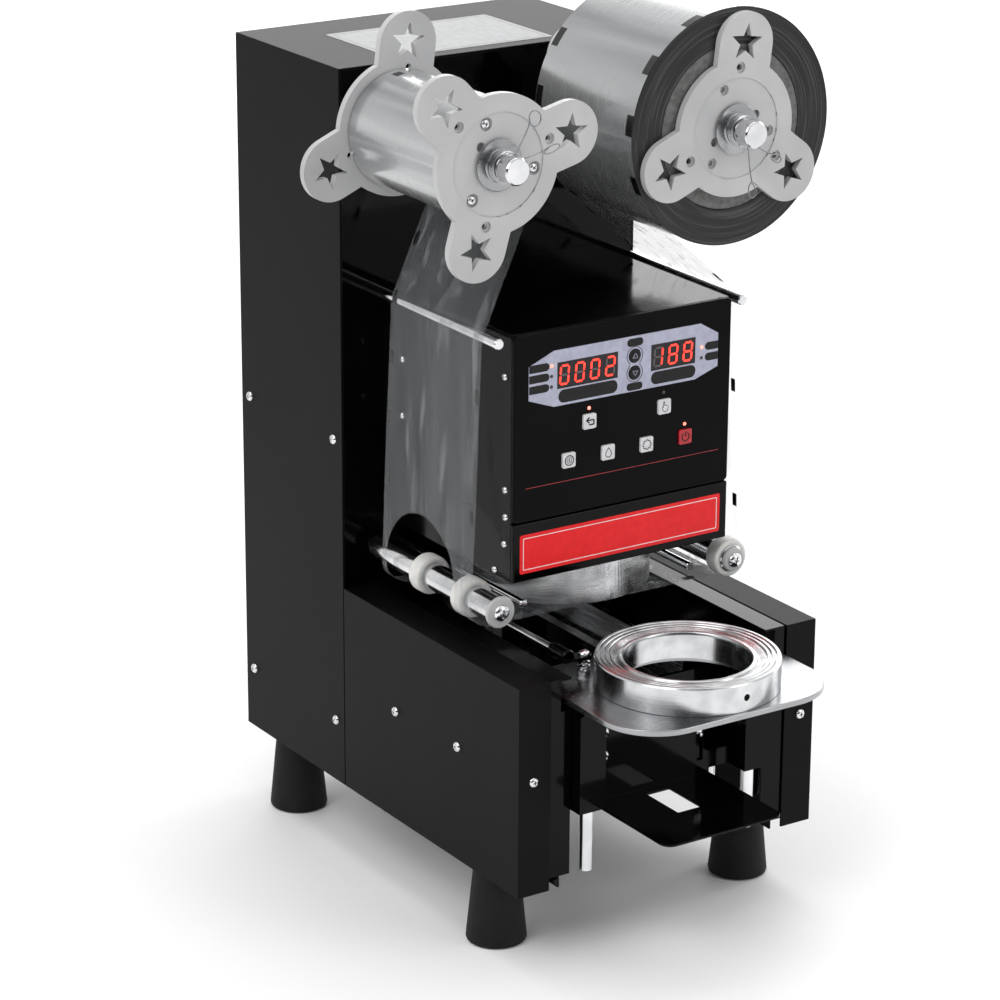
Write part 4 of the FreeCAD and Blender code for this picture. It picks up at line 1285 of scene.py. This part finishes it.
# rods, rollers and their screws
rodSettings = {
    "upper": [(0, -80), (3.1, -80), (rodRadius, -79.3), (rodRadius, 88), (0, 88)],
    "lower": [(0, -67), (2.5, -67), (3, -66.4), (3, 88), (0, 88)],
    "lowerPlace": (68, 227),
}


def filmRods():
    rods = []
    lowerX, lowerZ = rodSettings["lowerPlace"]
    for side in (-1, 1):
        rods.append(turned(rodSettings["upper"], "Y", (side * rodX, 0, rodZ), 28))
        rods.append(turned(rodSettings["lower"], "Y", (side * lowerX, 0, lowerZ), 24))
    piece = merged(*rods)
    smooth(piece, 30)
    settle(piece, "film_guide_rods", finish["chrome"], "frame", ("film_rods",))


rollerSettings = {
    # side, word, washer radius, screw radius, seed of the screw's turn, where the two rubber rings start
    "sides": ((-1, "left", 10.8, 5.9, 4, (-50, 2)), (1, "right", 8.4, 5.2, 9, (-77, 26))),
    "axle": [(0, -80.5), (4, -80.5), (4, 88), (0, 88)],
    "tube": [(4.1, -77.4), (8.6, -78), (9.3, -77.3), (9.3, 71.4), (8.7, 72), (4.1, 71.6), (4.1, -77.4)],
    "grip": [
        (9.3, 0.6), (10.6, 0), (12.2, 0.15), (13.1, 0.9), (gripRadius, 2.2), (gripRadius, 9.8), (13.1, 11.1),
        (12.2, 11.85), (10.6, 12), (9.3, 11.4), (9.3, 0.6),
    ],
}


def rollers():
    s = rollerSettings
    axles = []
    washers = []
    for side, _, washer, _, _, _ in s["sides"]:
        centre = (side * rollerX, 0, rollerZ)
        axles.append(turned(s["axle"], "Y", centre, 28))
        rim = [(0, -81), (washer - 1.4, -81), (washer - 0.4, -80.6), (washer, -79.9), (washer, -78.4), (4, -78.4)]
        washers.append(turned(rim, "Y", centre, 40))
    axle = merged(*axles)
    smooth(axle, 30)
    settle(axle, "roller_axle_bars", finish["chrome"], "frame", ("roller_axles",))
    washer = merged(*washers)
    smooth(washer, 30)
    settle(washer, "roller_end_washers", finish["abs"], "frame")
    for side, word, _, head, seed, _ in s["sides"]:
        spot = ("-Y", side * rollerX, -81, rollerZ)
        screwSet(word + "_roller_screw", panHead(head, 2.9), [spot], "frame", seed=seed)
    for side, word, _, _, _, starts in s["sides"]:
        centre = (side * rollerX, 0, rollerZ)
        roller = turned(s["tube"], "Y", centre, 56)
        smooth(roller, 30)
        node = "roller_" + word
        settle(roller, node + "_tube", finish["tube"], word + "_roller", (node,))
        rings = [turned([(out, start + y) for out, y in s["grip"]], "Y", centre, 56) for start in starts]
        grip = merged(*rings)
        smooth(grip, 40)
        settle(grip, node + "_rings", finish["silicone"], word + "_roller", (node + "_grips",))


filmRods()
rollers()
print("rods and rollers")


# cup ring, columns and draw rod
cupSettings = {
    # outer wall, three stepped lips, the sloped seat and the bore
    "profile": [
        (61.2, 188), (61.7, 188.4), (61.7, 206.6), (61.2, 207.5), (60.4, 207.9), (58.9, 207.9), (58.5, 207.5),
        (58.3, 206.3), (57.8, 206.2), (57.6, 207.3), (57.2, 207.6), (55.6, 207.6), (55.2, 207.2), (55, 206),
        (54.5, 205.9), (54.3, 207), (53.9, 207.3), (52.4, 207.3), (52, 206.9), (51.8, 205.7), (51.3, 205.6),
        (51, 206.5), (50.4, 206.8), (49.6, 206.6), (46.8, 205.2), (46.2, 205.1), (45.8, 206.1), (45.2, 206.5),
        (43.6, 206.5), (42.9, 206.2), (42.5, 205.4), (42.3, 204), (42.3, 190.6), (42.3, 188), (61.2, 188),
    ],
    "hole": (2.5, -224, 197.6),
    "screw": (2.5, -219.8, 197.6),
    "screwProfile": [(0, 2.4), (1, 2.4), (1.3, 1.6), (2.3, 1.4), (2.3, 5), (0, 5)],
}


def cupRing():
    s = cupSettings
    ring = turned(s["profile"], "Z", (0, cupY, 0), 160)
    carve(ring, turned([(0, 0), (2.4, 0), (2.4, 9), (0, 9)], "Y", s["hole"], 24))
    smooth(ring, 24)
    settle(ring, "cup_ring_turned", finish["turned"], "tray", ("cup_ring",))
    # a black set screw deep in the ring's radial hole: partly a real grub screw, partly a dark plug that stands in for
    # the shade inside the hole
    screw = turned(s["screwProfile"], "Y", s["screw"], 20)
    smooth(screw, 30)
    settle(screw, "ring_set_screw", finish["nylon"], "tray")


columnSettings = {
    "profile": [(0, 62), (3.7, 62), (4.5, 62.8), (4.5, 184), (0, 184)],
    "x": (-66, 66),
    "y": (-140, -100),
}


def guideColumns():
    s = columnSettings
    columns = [turned(s["profile"], "Z", (x, y, 0), 32) for x in s["x"] for y in s["y"]]
    piece = merged(*columns)
    smooth(piece, 30)
    settle(piece, "guide_column_rods", finish["chrome"], "tray", ("guide_columns",))


drawRodSettings = {
    "stud": (-49.5, -111),
    "rod": (-62, 0, 202.5),
    "nut": (188.05, 192, 4.6, 8),
    # the stud's neck with two grooves, and its domed end above the joint
    "neck": [
        (0, 191.8), (3.1, 191.8), (3.1, 193.2), (4.1, 193.4), (4.3, 194), (4.1, 194.6), (2.6, 194.9), (2.3, 195.5),
        (3.9, 195.8), (4.2, 196.5), (3.9, 197.2), (2.4, 197.5), (2.4, 199.45), (0, 199.45),
    ],
    "dome": [(0, 202.1), (4.1, 202.1), (4.1, 203), (3.4, 204.1), (1.6, 204.9), (0, 205)],
    "bar": [
        (0, -100), (2.75, -100), (2.75, 1.9), (3.9, 2), (4.2, 2.3), (4.2, 4.7), (3.9, 5), (2.75, 5.1), (2.75, 13.5),
        (2.3, 14), (0, 14),
    ],
    "eye": [
        (2.76, -111.5), (4.2, -112), (5, -111), (5, -97), (4.4, -93), (3.4, -92), (2.76, -92), (2.76, -111.5),
    ],
    "arm": [(-60, -104.4), (-66.4, -104.2), (-67.4, -107), (-66.8, -112.6), (-62, -115)],
    "armZ": (199.5, 202),
}


def hexNut(x, y, low, high, across, turn):
    # nut with its corners turned back
    outline = []
    for corner in range(6):
        out, up = around(across, 60 * corner + turn)
        outline.append((x + out, y + up))
    nut = plate(outline, "Z", low, high)
    rim = [(0, low), (across - 0.6, low), (across, low + 0.5), (across, high - 0.5), (across - 0.6, high), (0, high)]
    carve(nut, turned(rim, "Z", (x, y, 0), 24), operation="INTERSECT")
    return nut


def drawRod():
    s = drawRodSettings
    x, y = s["stud"]
    stack = [hexNut(x, y, *s["nut"])]
    stack += [turned(s[part], "Z", (x, y, 0), 28) for part in ("neck", "dome")]
    stud = merged(*stack)
    smooth(stud, 35)
    settle(stud, "link_stud_stack", finish["chrome"], "tray", ("link_stud",))
    rod = turned(s["bar"], "Y", s["rod"], 28)
    smooth(rod, 30)
    settle(rod, "draw_rod_bar", finish["chrome"], "tray", ("link_rod",))
    eye = turned(s["eye"], "Y", s["rod"], 28)
    arm = plate(arc((x, y), 5.2, -90, 90, 12) + s["arm"], "Z", *s["armZ"])
    bevelEdges(arm, 0.5, 2, 40)
    joint = merged(eye, arm)
    smooth(joint, 35)
    settle(joint, "draw_rod_joint", finish["gloss"], "tray")


cupRing()
guideColumns()
drawRod()
print("ring and tray")


# film between the reels
filmSettings = {
    "thick": 0.16,
    "front": -66,
    "rear": 46,
    "gap": 0.45,
    "stepMm": 3.0,
    "wrinkle": 0.28,
    # pitch, lean and size of each run of folds
    "folds": ((17, 0.11, 1), (31, -0.07, 1.3), (9, 0.2, 0.45)),
    "holeRadius": 43,
    "holeAt": (-109, -2, 233),
    "markSize": (9, 4.4),
    # y where each row of marks starts, and the row's pitch along the film
    "markRows": ((-64.5, 83), (40, 41.5)),
}


def tangentLine(one, two):
    # line from circle one to circle two; a positive radius keeps its circle on the left
    x1, z1, r1 = one
    x2, z2, r2 = two
    heading = math.atan2(z2 - z1, x2 - x1) - math.asin((r2 - r1) / math.hypot(x2 - x1, z2 - z1))
    right = (math.sin(heading), -math.cos(heading))
    return (x1 + right[0] * r1, z1 + right[1] * r1), (x2 + right[0] * r2, z2 + right[1] * r2)


def filmPath():
    # middle line of the film as (x, z) points, from the take-up reel to the supply roll
    gap = filmSettings["gap"]
    rod, grip = rodRadius + gap, gripRadius + gap
    left = [(-reelX, reelZ, -(windingRadius + gap)), (-rodX, rodZ, rod), (-rollerX, rollerZ, grip)]
    right = [(rollerX, rollerZ, grip), (rodX, rodZ, rod), (reelX, reelZ, -(rollRadius + gap))]
    stops = left + right
    lines = [tangentLine(a, b) for a, b in zip(stops, stops[1:])]
    path = []
    for index, (start, end) in enumerate(lines):
        length = math.dist(start, end)
        count = max(2, round(length / filmSettings["stepMm"]))
        dx, dz = end[0] - start[0], end[1] - start[1]
        path += [(start[0] + dx * k / count, start[1] + dz * k / count) for k in range(count + 1)]
        if index + 1 < len(lines):
            x, z, radius = stops[index + 1]
            first = math.atan2(end[1] - z, end[0] - x)
            last = math.atan2(lines[index + 1][0][1] - z, lines[index + 1][0][0] - x)
            while last < first:
                last += tau
            count = max(3, round((last - first) * abs(radius) / 1.5))
            path += arc((x, z), abs(radius), math.degrees(first), math.degrees(last), count)[1:-1]
    return path


def alongPath(path):
    # distance along the path at each of its points
    reach = [0]
    for a, b in zip(path, path[1:]):
        reach.append(reach[-1] + math.dist(a, b))
    return reach


def bendOnPath(piece, path, reach, wrinkle=0.0):
    # moves a flat strip (distance, y, height) onto the path, with shallow wrinkles in its free runs
    for vertex in piece.data.vertices:
        distance, y, height = (value / mm for value in vertex.co)
        index = max(k for k, value in enumerate(reach[:-1]) if value <= distance + 1e-6)
        share = (distance - reach[index]) / (reach[index + 1] - reach[index])
        a, b = path[index], path[index + 1]
        dx, dz = b[0] - a[0], b[1] - a[1]
        length = math.hypot(dx, dz)
        lift = height
        if wrinkle:
            # folds run along the free stretches and fade out where the film touches a rod or roller
            free = min(1, max(0, length / filmSettings["stepMm"] * 1.2 - 0.6))
            for pitch, lean, size in filmSettings["folds"]:
                lift += free * wrinkle * size * math.sin(tau * (y / pitch + distance * lean / pitch) + pitch)
        right = (-dz / length, dx / length)
        vertex.co = Vector((a[0] + dx * share + right[0] * lift, y, a[1] + dz * share + right[1] * lift)) * mm


def filmWeb():
    s = filmSettings
    path = filmPath()
    reach = alongPath(path)
    total = reach[-1]
    deselect()
    width = s["rear"] - s["front"]
    middleY = (s["rear"] + s["front"]) / 2
    bpy.ops.mesh.primitive_grid_add(
        x_subdivisions=round(total / 2.5), y_subdivisions=32, size=1, location=(total / 2 * mm, middleY * mm, 0)
    )
    web = bpy.context.object
    web.scale = (total * mm, width * mm, 1)
    bake(web)
    useModifier(web, "SOLIDIFY", thickness=s["thick"] * mm, offset=0)
    x, y, z = s["holeAt"]
    nearest = min(range(len(path)), key=lambda k: math.dist(path[k], (x, z)))
    punch = turned([(0, -3), (s["holeRadius"], -3), (s["holeRadius"], 3), (0, 3)], "Z", (reach[nearest], y, 0), 72)
    carve(web, punch)
    bendOnPath(web, path, reach, s["wrinkle"])
    smooth(web, 50)
    settle(web, "sealing_film", finish["film"], "frame", ("film_web",))
    patches = []
    long, wide = s["markSize"]
    for edge, every in s["markRows"]:
        distance = 60
        while distance < total - 12:
            if not (edge > 0 and abs(distance - reach[nearest]) < 20):
                deselect()
                spot = ((distance + long / 2) * mm, (edge + wide / 2) * mm, 0)
                bpy.ops.mesh.primitive_grid_add(x_subdivisions=6, y_subdivisions=3, size=1, location=spot)
                mark = bpy.context.object
                mark.scale = (long * mm, wide * mm, 1)
                bake(mark)
                useModifier(mark, "SOLIDIFY", thickness=(s["thick"] + 0.1) * mm, offset=0)
                patches.append(mark)
            distance += every
    marks = merged(*patches)
    bendOnPath(marks, path, reach, s["wrinkle"])
    settle(marks, "film_eye_marks", finish["eyeMark"], "frame")


filmWeb()
print("film")


# floor
def addFloor():
    deselect()
    bpy.ops.mesh.primitive_plane_add(size=16, location=(0, 0, -0.0005))
    floor = bpy.context.object
    floor.name = "studio_floor"
    paint = newMaterial("matt_white_floor", Roughness=0.9, IOR=1.3)
    colourDrift(paint, "f4f4f4", "f8f8f8", 800)
    floor.data.materials.append(paint)


addFloor()


# finishes of the nodes that keep their shape
carried = {
    "slide_rails": "steelY", "drive_belt": "belt",
    "drive_pulley": "alu", "idler_pulley": "alu", "drawer_motor": "alu", "lift_motor": "alu", "take_up_motor": "alu",
    "power_inlet": "nylon", "rocker_switch": "nylon", "lift_yoke": "steelX", "control_board": "board",
    "die_ring": "turned", "cutter_ring": "turned", "heater_plate": "alu",
}
for node, key in carried.items():
    carrier = bpy.data.objects[node]
    for holder in carrier.material_slots:
        holder.material = finish[key]
print("carried nodes", len(carried))
